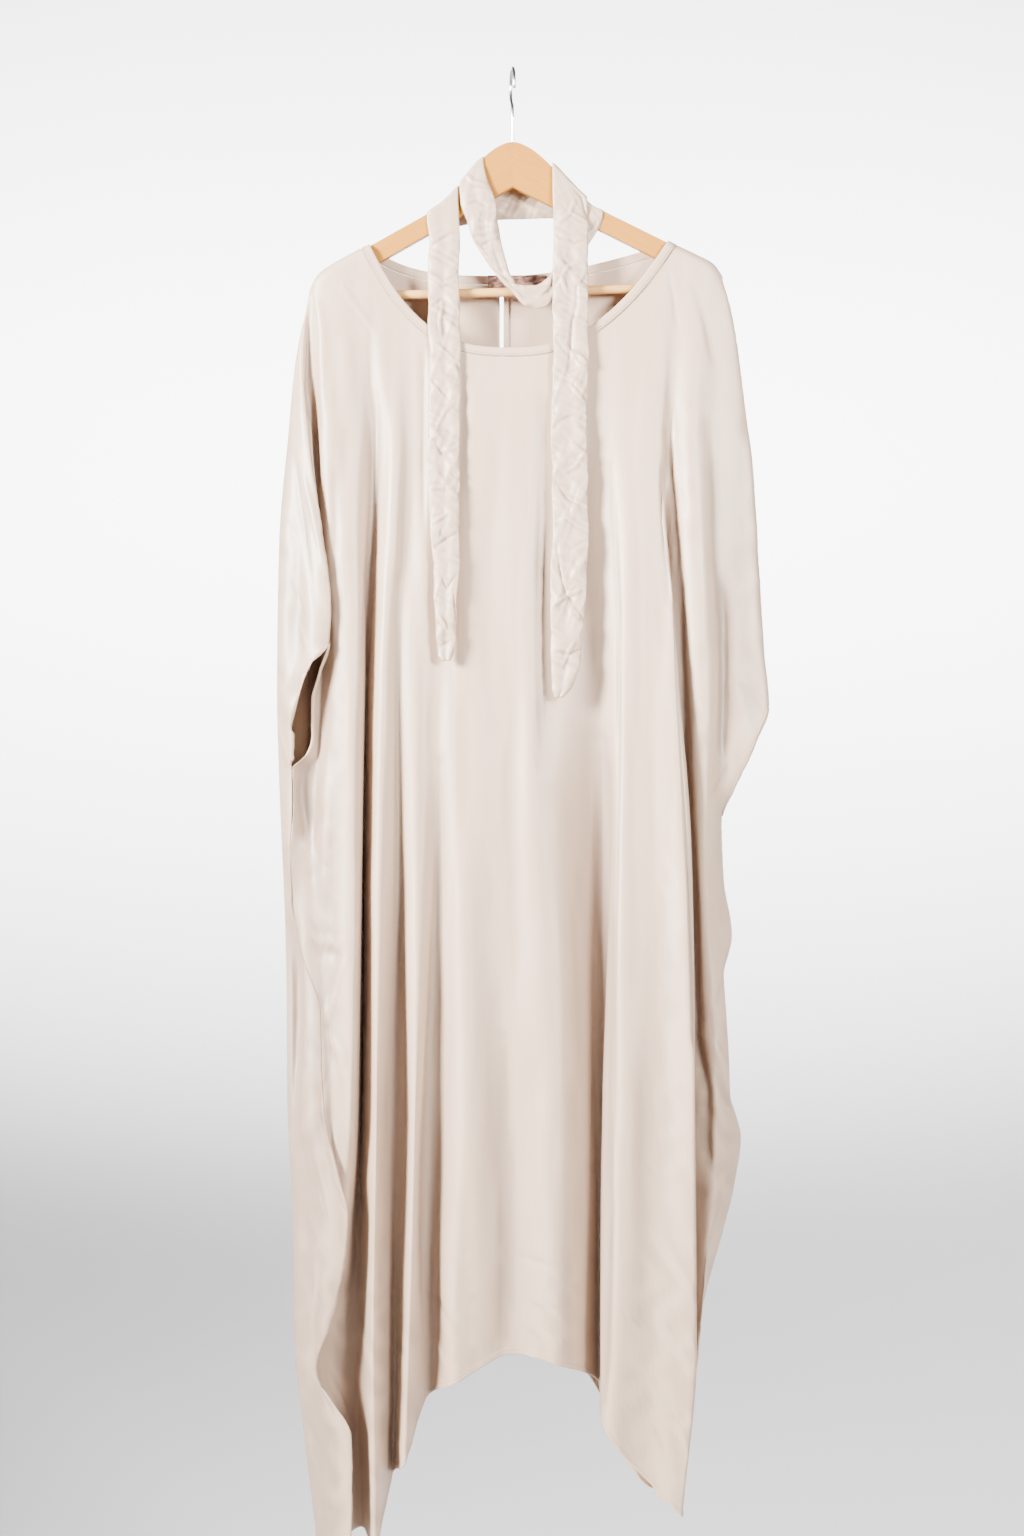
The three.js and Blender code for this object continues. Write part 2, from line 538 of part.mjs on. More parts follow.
// The band round the neck: a closed ring on the panels' own columns.
function neckBinding() {
  const stations = [];
  const neckColumns = (panel) => panel.columns.map((u, i) => ({ u, t: panel.tops[i].neck }))
    .filter((column) => column.t !== null);
  neckColumns(panels.front).forEach(({ u, t }) => stations.push({ part: 'front', u, t }));
  neckColumns(panels.back_right).filter(({ t }) => t < 0.9999)
    .forEach(({ u, t }) => stations.push({ part: 'back', u, t }));
  neckColumns(panels.back_left).slice(1).filter(({ t }) => t > -0.9999)
    .forEach(({ u, t }) => stations.push({ part: 'back', u, t }));
  const rows = [0, NECK.band / 2, NECK.band].map((away) => stations.map(({ part, u, t }) => {
    const place = necklineAt(part, t, away);
    const y = Math.abs(t) > 0.9999 ? 0 : ringAt(rings[part], u, place.drop)[1];
    return new THREE.Vector3(place.x, y * bendAt(place.x, place.drop), -place.drop);
  }));
  const outwards = gridOutwards(rows, true);
  const flush = (NECK.bandThick - WALL) / 2; // brings its inner face level with the cloth's
  rows.forEach((row, j) => row.forEach((point, i) => point.addScaledVector(outwards[j][i], flush)));
  const mesh = new THREE.Mesh(wallGeometry(rows, outwards, NECK.bandThick, true), cloth);
  mesh.name = 'neck_binding';
  return mesh;
}

// A strip that lies on a panel, on its outer side (1) or its inner side (-1).
function stripOnCloth(name, material, part, places, thickness, side) {
  const lift = side * (WALL / 2 + 1.5 * SEAM_GAP + thickness / 2);
  const points = places.map((row) => row.map(({ u, drop }) => clothAt(rings[part], u, drop)));
  const outwards = places.map((row) => row.map(({ u, drop }) => outwardAt(rings[part], u, drop)));
  points.forEach((row, j) => row.forEach((point, i) => point.addScaledVector(outwards[j][i], lift)));
  const mesh = new THREE.Mesh(wallGeometry(points, outwards, thickness), material);
  mesh.name = name;
  return mesh;
}

// The strips round the cuff openings, made from the panels' own edge points moved out. Clear is the
// space under a strip, wider where the cloth turns sharply.
function cuffBindings() {
  const sides = [
    { name: 'left_front', panel: panels.front, edge: 0, next: 1, cuff: LEFT_CUFF.front, clear: 2 },
    { name: 'left_back', panel: panels.back_left, edge: -1, next: -2, cuff: LEFT_CUFF.back, clear: 2 },
    { name: 'right_front', panel: panels.front, edge: -1, next: -2, cuff: RIGHT_CUFF.front, clear: 0.6 },
    { name: 'right_back', panel: panels.back_right, edge: 0, next: 1, cuff: RIGHT_CUFF.back, clear: 2 },
  ];
  return sides.map(({ name, panel, edge, next, cuff, clear }) => {
    const lift = WALL / 2 + clear + CUFF_BINDING.thick / 2;
    const inCuff = (row) => -row.at(edge).z > cuff[0].drop && -row.at(edge).z < cuff.at(-1).drop;
    const points = [];
    const outwards = [];
    panel.points.forEach((row, j) => {
      if (!inCuff(row)) return;
      const across = row.at(next).clone().sub(row.at(edge)).normalize();
      const normal = panel.outwards[j].at(edge).clone();
      normal.addScaledVector(across, -normal.dot(across)).normalize();
      outwards.push([normal, normal]);
      points.push([0, CUFF_BINDING.width].map((away) => (
        row.at(edge).clone().addScaledVector(across, away).addScaledVector(normal, lift))));
    });
    const mesh = new THREE.Mesh(wallGeometry(points, outwards, CUFF_BINDING.thick), cloth);
    mesh.name = `cuff_binding_${name}`;
    return mesh;
  });
}

function placeAcross(part, x, drop, from, to) {
  return crossing(from, to, (u) => clothAt(rings[part], u, drop).x - x);
}

function backSlitFacing() {
  const rows = 5;
  const top = NECK.top + NECK.backDeep + NECK.band + 6;
  const places = Array.from({ length: rows + 1 }, (unused, j) => {
    const drop = mix(top, BACK_SLIT.bottom, j / rows);
    const start = clothAt(rings.back, CENTRE_BACK, drop).x + BACK_SLIT.halfGap;
    return [start, start + BACK_SLIT.facing].map((x) => ({
      u: placeAcross('back', x, drop, CENTRE_BACK - 1, CENTRE_BACK), drop,
    }));
  });
  return stripOnCloth('back_slit_facing', cloth, 'back', places, BACK_SLIT.facingThick, -1);
}

function neckLabel() {
  const columns = 6;
  const places = [LABEL.top, LABEL.bottom].map((drop) => (
    Array.from({ length: columns + 1 }, (unused, i) => ({
      u: placeAcross('back', mix(LABEL.left, LABEL.right, i / columns), drop,
        RIGHT_SIDE + 4, CENTRE_BACK + 4), drop,
    }))));
  return stripOnCloth('neck_label', woven, 'back', places, LABEL.thick, -1);
}

// The hanger's arms, in the hanger's own level frame.
function armShape() {
  const run = Math.tan(ARM_SLOPE);
  const top = (x) => -ARM_APEX - run * x;
  const shape = new THREE.Shape();
  shape.moveTo(SEAM_GAP / 2, -CREST_DROP);
  shape.bezierCurveTo(38, -CREST_DROP - 6, 55, top(55), HUMP_END, top(HUMP_END));
  shape.lineTo(206, top(206));
  shape.quadraticCurveTo(ARM_REACH, top(ARM_REACH), ARM_REACH, -ARM_APEX - 128);
  shape.lineTo(ARM_REACH - 1, -BAR_DROP - 4);
  shape.quadraticCurveTo(ARM_REACH - 3, -BAR_DROP - 9, 208, -BAR_DROP - 9);
  shape.lineTo(FOOT_X + 2, -BAR_DROP - 8);
  shape.lineTo(FOOT_X, -BAR_DROP - 6);
  shape.lineTo(FOOT_X, -BAR_DROP + 6.5);
  shape.quadraticCurveTo(FOOT_X, top(FOOT_X) - ARM_HEIGHT, 186, top(186) - ARM_HEIGHT);
  shape.lineTo(SEAM_GAP / 2, top(0) - ARM_HEIGHT);
  return shape;
}

function hangerArm(name, side) {
  const bevel = 1.5;
  const geometry = new THREE.ExtrudeGeometry(armShape(), {
    depth: ARM_THICK - 2 * bevel, curveSegments: 7, steps: 1,
    bevelEnabled: true, bevelThickness: bevel, bevelSize: bevel, bevelOffset: -bevel, bevelSegments: 2,
  });
  geometry.rotateX(Math.PI / 2).translate(0, ARM_THICK / 2 - bevel, 0);
  const mesh = new THREE.Mesh(geometry, wood);
  if (side < 0) mesh.rotation.z = Math.PI;
  mesh.name = name;
  return mesh;
}

function hangerBar() {
  const geometry = new THREE.CylinderGeometry(BAR_RADIUS, BAR_RADIUS, 2 * BAR_HALF, 20);
  geometry.rotateZ(Math.PI / 2).translate(0, 0, -BAR_DROP);
  const mesh = new THREE.Mesh(geometry, wood);
  mesh.name = 'hanger_bar';
  return mesh;
}

// A wire hook, seen nearly edge on: up from the crest, back, over the top and down in front.
function hangerHook() {
  const centre = WIRE_RADIUS - HOOK_RADIUS;
  const turns = 18;
  const points = [
    new THREE.Vector3(0, 0, -CREST_DROP + SEAM_GAP), new THREE.Vector3(0, 0, -CREST_DROP + 14),
    new THREE.Vector3(0, 0, centre - HOOK_RADIUS - 10), new THREE.Vector3(0, 3, centre - HOOK_RADIUS - 2),
  ];
  for (let i = 0; i <= turns; i += 1) {
    const angle = mix(-Math.PI / 3, HOOK_END, i / turns);
    points.push(new THREE.Vector3(0, HOOK_RADIUS * Math.cos(angle), centre + HOOK_RADIUS * Math.sin(angle)));
  }
  const path = new THREE.CatmullRomCurve3(points);
  const section = new THREE.Shape().absarc(0, 0, WIRE_RADIUS, 0, 2 * Math.PI);
  const geometry = new THREE.ExtrudeGeometry(section, {
    steps: 44, bevelEnabled: false, extrudePath: path, curveSegments: 5,
  });
  const mesh = new THREE.Mesh(geometry, steel);
  mesh.rotation.z = HOOK_TURN;
  mesh.name = 'hanger_hook';
  return mesh;
}

function hanger() {
  const frame = new THREE.Group();
  frame.position.set(0, 0, -ARM_APEX);
  frame.rotation.y = -HANGER_TILT;
  const level = new THREE.Group();
  level.position.set(0, 0, ARM_APEX);
  level.add(hangerArm('hanger_arm_left', -1), hangerArm('hanger_arm_right', 1), hangerBar());
  frame.add(level);
  return frame;
}

// The drop of the arms' top, tilted as the hanger hangs.
const armOutline = armShape().getPoints(8).filter((point, i) => i < 9);
const humpDrop = smoothCurve(armOutline.map((point) => point.x), armOutline.map((point) => -point.y));
const levelArmDrop = (x) => (Math.abs(x) < HUMP_END ? humpDrop(Math.abs(x))
  : ARM_APEX + Math.tan(ARM_SLOPE) * Math.abs(x));
function armTopDrop(x) {
  const levelX = x - Math.tan(HANGER_TILT) * (levelArmDrop(x) - ARM_APEX);
  return levelArmDrop(levelX) - Math.tan(HANGER_TILT) * levelX;
}

// A point of a band that passes over an arm: angle 0 is in front, 90 degrees is on top.
function overArm(x, angle, clear) {
  const slope = armTopDrop(x + 0.5) - armTopDrop(x - 0.5);
  const lift = clear * Math.hypot(1, slope);
  const square = (value) => Math.sign(value) * Math.sqrt(Math.abs(value));
  const depth = ARM_THICK / 2 + clear;
  const drop = armTopDrop(x) + WRAP_SIDE - (WRAP_SIDE + lift) * square(Math.sin(angle));
  return new THREE.Vector3(x, -depth * square(Math.cos(angle)), -drop);
}

function wrapRows(left, right, clear) {
  return Array.from({ length: WRAP_STEPS + 1 }, (unused, j) => {
    const angle = mix(Math.PI, 0, j / WRAP_STEPS);
    return Array.from({ length: SASH_COLUMNS + 1 }, (alsoUnused, i) => (
      overArm(mix(left, right, i / SASH_COLUMNS), angle, clear)));
  });
}

function sectionRow(left, right) {
  return Array.from({ length: SASH_COLUMNS + 1 }, (unused, i) => {
    const share = i / SASH_COLUMNS;
    const swell = i % 2 === 0 ? 0 : -1.2;
    return left.clone().lerp(right, share).add(new THREE.Vector3(0, swell, 0));
  });
}

function sashMesh(name, rows) {
  const mesh = new THREE.Mesh(wallGeometry(rows, gridOutwards(rows), SASH_THICK), cloth);
  mesh.name = name;
  return mesh;
}

function sashTail(name, table, wrap) {
  const rows = table.map((row) => sectionRow(
    new THREE.Vector3(row.left, row.y, -row.drop), new THREE.Vector3(row.right, row.y, -row.drop)));
  return sashMesh(name, [...wrap, ...rows]);
}

function sash() {
  const first = 1.6; // a band that lies on the arm
  const second = first + SASH_THICK + 0.6; // a band that lies on that one
  const loopRows = LOOP.map((row) => sectionRow(
    new THREE.Vector3(row.outer[0], row.y, -row.outer[1]),
    new THREE.Vector3(row.inner[0], row.y, -row.inner[1])));
  const backRows = BACK_STRETCH.map((row) => sectionRow(
    new THREE.Vector3(row.x, BACK_STRETCH_Y, -row.bottom),
    new THREE.Vector3(row.x, BACK_STRETCH_Y, -row.top)));
  return [
    sashTail('sash_left_tail', LEFT_TAIL, wrapRows(-94, -60, first)),
    sashTail('sash_right_tail', RIGHT_TAIL, wrapRows(44, 82, second)),
    sashMesh('sash_loop', [
      ...wrapRows(-58, -32, first), ...loopRows, ...wrapRows(100, 66, first).reverse(),
    ]),
    sashMesh('sash_back', backRows),
  ];
}

const kaftan = new THREE.Group();
kaftan.add(
  ...bodyPanels(), neckBinding(), ...cuffBindings(), backSlitFacing(), neckLabel(),
  hanger(), hangerHook(), ...sash(),
);

export default kaftan;
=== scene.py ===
import math

import bmesh
import bpy
import numpy as np
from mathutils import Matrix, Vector


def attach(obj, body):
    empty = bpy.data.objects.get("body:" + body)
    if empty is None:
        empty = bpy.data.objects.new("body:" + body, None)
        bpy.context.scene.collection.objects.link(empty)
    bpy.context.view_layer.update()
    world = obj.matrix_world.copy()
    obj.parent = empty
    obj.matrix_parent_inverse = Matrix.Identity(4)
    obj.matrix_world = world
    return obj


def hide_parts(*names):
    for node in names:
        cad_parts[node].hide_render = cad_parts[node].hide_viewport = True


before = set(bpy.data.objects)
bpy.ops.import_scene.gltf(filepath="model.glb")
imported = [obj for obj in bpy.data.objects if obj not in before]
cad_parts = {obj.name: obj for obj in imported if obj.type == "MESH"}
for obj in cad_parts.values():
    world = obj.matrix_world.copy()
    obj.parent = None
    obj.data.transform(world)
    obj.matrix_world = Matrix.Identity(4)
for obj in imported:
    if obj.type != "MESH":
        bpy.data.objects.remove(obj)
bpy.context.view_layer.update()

# A satin kaftan on a wooden hanger. Tables and sizes are in millimetres, and meshes are made in
# metres. Left and right are as seen from the front, and a drop is a distance below the origin,
# which is the place inside the top of the hook where a rail would hold it.
MM = 0.001
root = "root"

# Camera: level, straight at the front. At the cloth's front a pixel of the 1024 by 1536 frame is
# 1.09 mm, and the hook's top lies on pixel (512.5, 63).
PIXEL = 1.09
FRAME_SIZE = (1024, 1536)
HOOK_PIXEL = (512.5, 63)
CAMERA_AWAY = 3.6
CLOTH_FRONT = -0.035
SENSOR = 36.0

# Cloth
CLOTH_THICK = 0.7
SEAM_GAP = 0.3
COLUMNS_A_FOLD = 9
MAIN_ROWS = 215
SHOULDER_ROUND = 10
SHOULDER_ROWS = [0, 0.5, 1.2, 2.4, 4, 6.2, 9]
HEM_ROWS = [8.5, 7, 6.2, 5.6, 5, 3, 1.2, 0.4, 0]
FOLD_SHADE_DEPTH = 30
NECK_POINT_STEPS = [0.7, 2]
NEARLY_ONE = 0.9999
# Faint even painted shade on the inner face of the cloth.
INNER_PAINTED_SHADE = 0.05

# Hanger
ARM_REACH = 217.5
ARM_THICK = 13
ARM_HEIGHT = 23.3
ARM_APEX = 107
ARM_SLOPE = math.radians(27.8)
HANGER_TILT = math.radians(1.5)
CREST_DROP = 80
HUMP_END = 95
BAR_DROP = 244.6
BAR_RADIUS = 5
BAR_HALF = 199.7
FOOT_X = 200
MITRE_GAP = 0.02

# Hook
WIRE_RADIUS = 1.7
HOOK_RADIUS = 19
HOOK_TURN = math.radians(6)
HOOK_END = math.radians(200)

# Neckline, slit, label and cuffs
NECK = {
    "middle": 7, "half": 164, "top": 190.9, "tilt": 1.9, "band": 10, "band_thick": 2.2,
    "front": {"deep": 117, "left_power": 3, "right_power": 2.2},
    "back": {"deep": 33, "left_power": 3.8, "right_power": 1.6},
}
BACK_SLIT = {"bottom": 350, "half_gap": 2, "facing": 6.5}
LABEL = {"left": -27, "right": 37, "top": 224, "bottom": 238, "thick": 0.7}
CUFF_BINDING_WIDTH = 5

# Fold lines of the body cloth: each is one ridge or valley that runs down the cloth, with its x
# and y at the seven levels and the drop of the hem below it.
LEVELS = [247, 420, 640, 860, 1130, 1400, 1566]
TURN_LEVELS = [247, 313, 389, 520, 640, 700, 768, 912, 1032, 1130, 1252, 1400, 1490, 1634]

FRONT_FOLDS = [
    {"name": "crease behind the sleeve", "hem": 1618,
     "x": [-221, -217, -208, -219, -196, -218, -182], "y": [-4, -18, -22, -38, -56, -44, -50]},
    {"name": "left column, soft edge", "hem": 1612,
     "x": [-214, -206, -193, -205, -186, -208, -186], "y": [-9, -34, -46, -48, -62, -28, -32]},
    {"name": "left column, sharp edge", "hem": 1606,
     "x": [-190, -175, -167, -169, -174, -190, -178], "y": [-12, -34, -50, -58, -66, -18, -18]},
    {"name": "deep left valley", "hem": 1600,
     "x": [-175, -150, -159, -163, -165, -172, -165], "y": [-12, -26, -20, -16, -16, -16, -16]},
    {"name": "narrow left ridge", "hem": 1608,
     "x": [-158, -132, -141, -146, -147, -151, -149], "y": [-12, -34, -48, -56, -64, -68, -68]},
    {"name": "second left valley", "hem": 1539,
     "x": [-129, -109, -123, -123, -130, -129, -131], "y": [-12, -28, -38, -34, -24, -22, -22]},
    {"name": "second left ridge", "hem": 1523,
     "x": [-98, -92, -99, -101, -106, -113, -118], "y": [-12, -32, -44, -52, -58, -60, -60]},
    {"name": "third left valley", "hem": 1452,
     "x": [-74, -76, -80, -81, -85, -90, -92], "y": [-12, -31, -40, -42, -34, -28, -28]},
    {"name": "broad left ridge", "hem": 1435,
     "x": [-50, -58, -62, -58, -52, -62, -64], "y": [-12, -32, -43, -50, -58, -62, -62]},
    {"name": "soft middle", "hem": 1405,
     "x": [0, -6, -8, -9, -1, 0, 0], "y": [-12, -30, -41, -46, -50, -46, -46]},
    {"name": "broad right ridge", "hem": 1415,
     "x": [38, 24, 18, 34, 51, 51, 51], "y": [-12, -31, -44, -52, -60, -66, -66]},
    {"name": "deep middle valley", "hem": 1441,
     "x": [95, 100, 95, 95, 93, 94, 94], "y": [-12, -28, -30, -18, -16, -16, -16]},
    {"name": "right column, inner edge", "hem": 1485,
     "x": [122, 124, 118, 112, 107, 101, 101], "y": [-12, -33, -46, -56, -66, -72, -72]},
    {"name": "right column, middle", "hem": 1542,
     "x": [145, 144, 149, 155, 155, 149, 150], "y": [-12, -33, -44, -52, -60, -68, -70]},
    {"name": "right column, sharp edge", "hem": 1575,
     "x": [168, 163, 179, 192, 197, 199, 184], "y": [-12, -34, -50, -62, -72, -78, -80]},
    {"name": "deep right valley", "hem": 1560,
     "x": [180, 172, 160, 177, 183, 190, 172], "y": [-12, -24, -18, -16, -16, -18, -30]},
    {"name": "right sleeve ridge", "hem": 1548,
     "x": [200, 194, 202, 208, 220, 203, 176], "y": [-12, -32, -40, -42, -42, -36, -44]},
    {"name": "right sleeve valley", "hem": 1545,
     "x": [220, 226, 236, 222, 236, 200, 172], "y": [-8, -20, -24, -28, -30, -28, -36]},
]

# The back's fold lines run on from the right side seam, round behind, to the left side seam.
BACK_RIGHT_FOLDS = [
    {"name": "behind the right seam", "hem": 1574,
     "x": [216, 240, 256, 222, 236, 188, 166], "y": [9, 12, 10, 8, 2, 2, -2]},
    {"name": "right back valley", "hem": 1575,
     "x": [194, 208, 216, 206, 214, 184, 160], "y": [12, 14, 14, 12, 10, 12, 10]},
    {"name": "right back ridge", "hem": 1570,
     "x": [168, 172, 178, 180, 188, 170, 156], "y": [12.5, 30, 42, 48, 52, 44, 38]},
    {"name": "inner right back valley", "hem": 1548,
     "x": [138, 136, 138, 142, 146, 140, 136], "y": [13, 22, 22, 18, 16, 16, 16]},
    {"name": "inner right back ridge", "hem": 1478,
     "x": [104, 98, 98, 102, 106, 104, 104], "y": [14, 30, 44, 54, 60, 60, 60]},
    {"name": "middle right back valley", "hem": 1415,
     "x": [68, 62, 60, 62, 64, 64, 64], "y": [15, 24, 28, 24, 20, 20, 20]},
    {"name": "middle right back ridge", "hem": 1403,
     "x": [30, 26, 26, 28, 32, 34, 34], "y": [16, 28, 40, 48, 52, 52, 52]},
]

BACK_MIDDLE = {"name": "centre back seam", "hem": 1400,
               "x": [-12, -12, -11, -9, -6, -5, -5], "y": [16, 26, 34, 36, 38, 38, 38]}

BACK_LEFT_FOLDS = [
    {"name": "middle left back ridge", "hem": 1404,
     "x": [-50, -46, -46, -46, -42, -40, -40], "y": [16, 28, 38, 44, 46, 46, 46]},
    {"name": "middle left back valley", "hem": 1425,
     "x": [-88, -80, -78, -80, -78, -74, -74], "y": [15, 24, 28, 28, 26, 26, 26]},
    {"name": "inner left back ridge", "hem": 1480,
     "x": [-122, -116, -112, -114, -114, -110, -110], "y": [14, 30, 42, 50, 56, 58, 58]},
    {"name": "inner left back valley", "hem": 1540,
     "x": [-150, -152, -152, -152, -150, -146, -142], "y": [13, 24, 24, 20, 18, 18, 18]},
    {"name": "left back ridge", "hem": 1585,
     "x": [-172, -186, -192, -196, -190, -184, -178], "y": [12.5, 30, 44, 52, 56, 58, 56]},
    {"name": "left back valley", "hem": 1600,
     "x": [-192, -218, -226, -226, -216, -208, -196], "y": [12, 14, 14, 14, 14, 14, 12]},
    {"name": "behind the left turn", "hem": 1604,
     "x": [-203, -236, -246, -246, -236, -226, -210], "y": [11, 20, 18, 20, 16, 16, 10]},
    {"name": "left turn", "hem": 1612, "levels": TURN_LEVELS,
     "x": [-217, -236, -245, -256.5, -258, -258, -256.5, -251, -248, -246.5, -241, -238, -228, -212],
     "y": [7.5, 3, 0, -6, -8, -8, 0, -2, -8, -8, -10, -10, -14, -12]},
    {"name": "left rim", "hem": 1622, "levels": TURN_LEVELS,
     "x": [-221, -237, -244, -251, -253, -254, -254.5, -250.8, -245, -244, -238, -236, -224, -206],
     "y": [5, -5, -14, -26, -32, -34, -22, -18, -30, -34, -34, -38, -42, -40]},
    {"name": "left strip trough", "hem": 1628, "levels": TURN_LEVELS,
     "x": [-222.8, -235, -236, -232, -232, -247, -250, -249.5, -234, -234, -218, -230, -206, -194],
     "y": [3, -10, -24, -40, -46, -48, -32, -28, -38, -42, -48, -50, -54, -52]},
    {"name": "left strip ridge", "hem": 1632, "levels": TURN_LEVELS,
     "x": [-223.4, -233, -229, -219, -215, -240, -245, -247.5, -222, -220, -200, -220, -190, -184],
     "y": [1.5, -13, -30, -46, -56, -56, -40, -36, -50, -56, -64, -58, -70, -66]},
]

# The side edges of the panels, as (drop, x, y): the sleeve's hanging top edge, the cuff opening
# and the side seam. In the cuff opening the front edge and the back edge part.
LEFT_EDGE = {"hem": 1634, "path": [
    (241, -223, -1), (313, -231, -14), (389, -222, -30), (438, -217, -38), (520, -206, -48),
    (596, -197, -56), (634, -199, -57), (768, -240, -44), (803, -239, -44), (869, -243, -43),
    (912, -244, -42), (967, -232, -46), (1032, -208, -54), (1099, -206, -58), (1152, -202, -60),
    (1207, -189, -64), (1252, -178, -68), (1305, -183, -68), (1370, -198, -62), (1419, -212, -60),
    (1452, -194, -66), (1490, -174, -72), (1545, -173, -74), (1634, -176, -72),
]}
LEFT_CUFF = {
    "front": [(634, -199, -57), (664, -210, -46), (694, -219, -40), (732, -219, -38),
              (757, -226, -41), (768, -240, -44)],
    "back": [(634, -199, -57), (656, -219, -60), (694, -232, -58), (738, -241, -50),
             (768, -240, -44)],
}
RIGHT_EDGE = {"hem": 1573, "path": [
    (232, 231, -1), (264, 240, -2), (297, 246, -3), (370, 255, -6), (424, 262, -8),
    (498, 268, -10), (629, 275, -12), (700, 280, -12), (825, 228, -12), (890, 230, -14),
    (951, 238, -15), (994, 229, -20), (1043, 219, -24), (1098, 226, -20), (1152, 244, -17),
    (1174, 248, -17), (1228, 241, -16), (1283, 227, -14), (1338, 212, -13), (1381, 202, -12),
    (1573, 170, -20),
]}
RIGHT_CUFF = {
    "front": [(700, 280, -12), (743, 265, -20), (792, 241, -20), (825, 228, -12)],
    "back": [(700, 280, -12), (743, 264, 3), (792, 240, 3), (825, 228, -12)],
}

# The line along the top of the shoulders, as (x, drop), over the hanger's arms.
SHOULDER_LINE = [
    (-224, 246), (-221, 238), (-214.5, 226), (-205, 218.4), (-150, 187.9), (0, 105), (150, 178.9),
    (205, 205), (219.5, 212.5), (230, 226), (236, 240),
]


def mix(a, b, share):
    return a + (b - a) * share


def smooth_curve(knots, values):
    """A smooth curve through rising knots that never overshoots them."""
    knots = np.array(knots, float)
    values = np.array(values, float)
    steps = np.diff(knots)
    slopes = np.diff(values) / steps
    tangents = np.zeros(len(values))
    tangents[0] = slopes[0]
    tangents[-1] = slopes[-1]
    for i in range(1, len(values) - 1):
        if slopes[i - 1] * slopes[i] > 0:
            tangents[i] = 2 / (1 / slopes[i - 1] + 1 / slopes[i])

    def curve(at):
        at = np.clip(at, knots[0], knots[-1])
        i = np.clip(np.searchsorted(knots, at) - 1, 0, len(steps) - 1)
        t = (at - knots[i]) / steps[i]
        return (values[i] * (2 * t**3 - 3 * t**2 + 1) + tangents[i] * steps[i] * (t**3 - 2 * t**2 + t)
                + values[i + 1] * (3 * t**2 - 2 * t**3) + tangents[i + 1] * steps[i] * (t**3 - t**2))

    return curve


def crossing(low, high, difference):
    """Bisection for the places between low and high where a function changes sign."""
    low = np.array(low, float)
    high = np.array(high, float)
    rising = difference(low) < 0
    for _ in range(40):
        middle = (low + high) / 2
        before = (difference(middle) < 0) == rising
        low = np.where(before, middle, low)
        high = np.where(before, high, middle)
    return (low + high) / 2


def smoothstep(value, low, high):
    t = np.clip((value - low) / (high - low), 0, 1)
    return t * t * (3 - 2 * t)


def fold_line(row):
    levels = row.get("levels", LEVELS)
    return {"hem": row["hem"], "x": smooth_curve(levels, row["x"]), "y": smooth_curve(levels, row["y"])}


def edge_line(edge, cuff):
    before = [row for row in edge["path"] if row[0] < cuff[0][0]]
    after = [row for row in edge["path"] if row[0] > cuff[-1][0]]
    drops, xs, ys = zip(*(before + cuff + after))
    return {"hem": edge["hem"], "x": smooth_curve(drops, xs), "y": smooth_curve(drops, ys)}


def ring_of(side):
    """The closed ring of fold lines: the front from left to right, the back from right to left."""
    return [edge_line(LEFT_EDGE, LEFT_CUFF[side]), *map(fold_line, FRONT_FOLDS),
            edge_line(RIGHT_EDGE, RIGHT_CUFF[side]), *map(fold_line, BACK_RIGHT_FOLDS),
            fold_line(BACK_MIDDLE), *map(fold_line, BACK_LEFT_FOLDS)]


RIGHT_SIDE = len(FRONT_FOLDS) + 1
CENTRE_BACK = RIGHT_SIDE + len(BACK_RIGHT_FOLDS) + 1
RING_SIZE = CENTRE_BACK + len(BACK_LEFT_FOLDS) + 1
rings = {"front": ring_of("front"), "back": ring_of("back")}
shoulder_drop = smooth_curve(*zip(*SHOULDER_LINE))


def line_places(ring, number, drop):
    """The x and y of numbered fold lines at drops, as an array of pairs."""
    number = number % RING_SIZE
    places = np.zeros((*drop.shape, 2))
    for k in np.unique(number):
        here = number == k
        places[here, 0] = ring[k]["x"](drop[here])
        places[here, 1] = ring[k]["y"](drop[here])
    return places


def ring_at(ring, u, drop):
    """Places on a ring of fold lines: a centripetal curve rounds each ridge and valley."""
    u, drop = np.broadcast_arrays(np.asarray(u, float), np.asarray(drop, float))
    i = np.floor(u).astype(int)
    p0, p1, p2, p3 = (line_places(ring, i + step, drop) for step in (-1, 0, 1, 2))

    def apart(a, b):
        return np.maximum(np.sqrt(np.hypot(*np.moveaxis(b - a, -1, 0))), 1e-3)[..., None]

    t1 = apart(p0, p1)
    t2 = t1 + apart(p1, p2)
    t3 = t2 + apart(p2, p3)
    t = mix(t1, t2, (u - i)[..., None])

    def blend(a, b, start, end):
        return mix(a, b, (t - start) / (end - start))

    a1 = blend(p0, p1, 0, t1)
    a2 = blend(p1, p2, t1, t2)
    a3 = blend(p2, p3, t2, t3)
    return blend(blend(a1, a2, 0, t2), blend(a2, a3, t1, t3), t1, t2)


def bend_at(x, drop):
    """How far the cloth has bent round the arm's top: 0 on the shoulder line, 1 below."""
    under = np.clip((drop - shoulder_drop(x)) / SHOULDER_ROUND, 0, 1)
    return np.sqrt(1 - (1 - under) ** 2)


def cloth_at(part, u, drop):
    """The middle of the cloth at places round the ring and drops."""
    u, drop = np.broadcast_arrays(np.asarray(u, float), np.asarray(drop, float))
    x, y = np.moveaxis(ring_at(rings[part], u, drop), -1, 0)
    return np.stack([x, y * bend_at(x, drop), -drop], -1)


def outward_at(part, u, drop):
    across = cloth_at(part, u + 0.01, drop) - cloth_at(part, u - 0.01, drop)
    down = cloth_at(part, u, drop + 0.5) - cloth_at(part, u, drop - 0.5)
    return unit(np.cross(down, across))


def unit(vectors):
    return vectors / np.maximum(np.linalg.norm(vectors, axis=-1, keepdims=True), 1e-9)


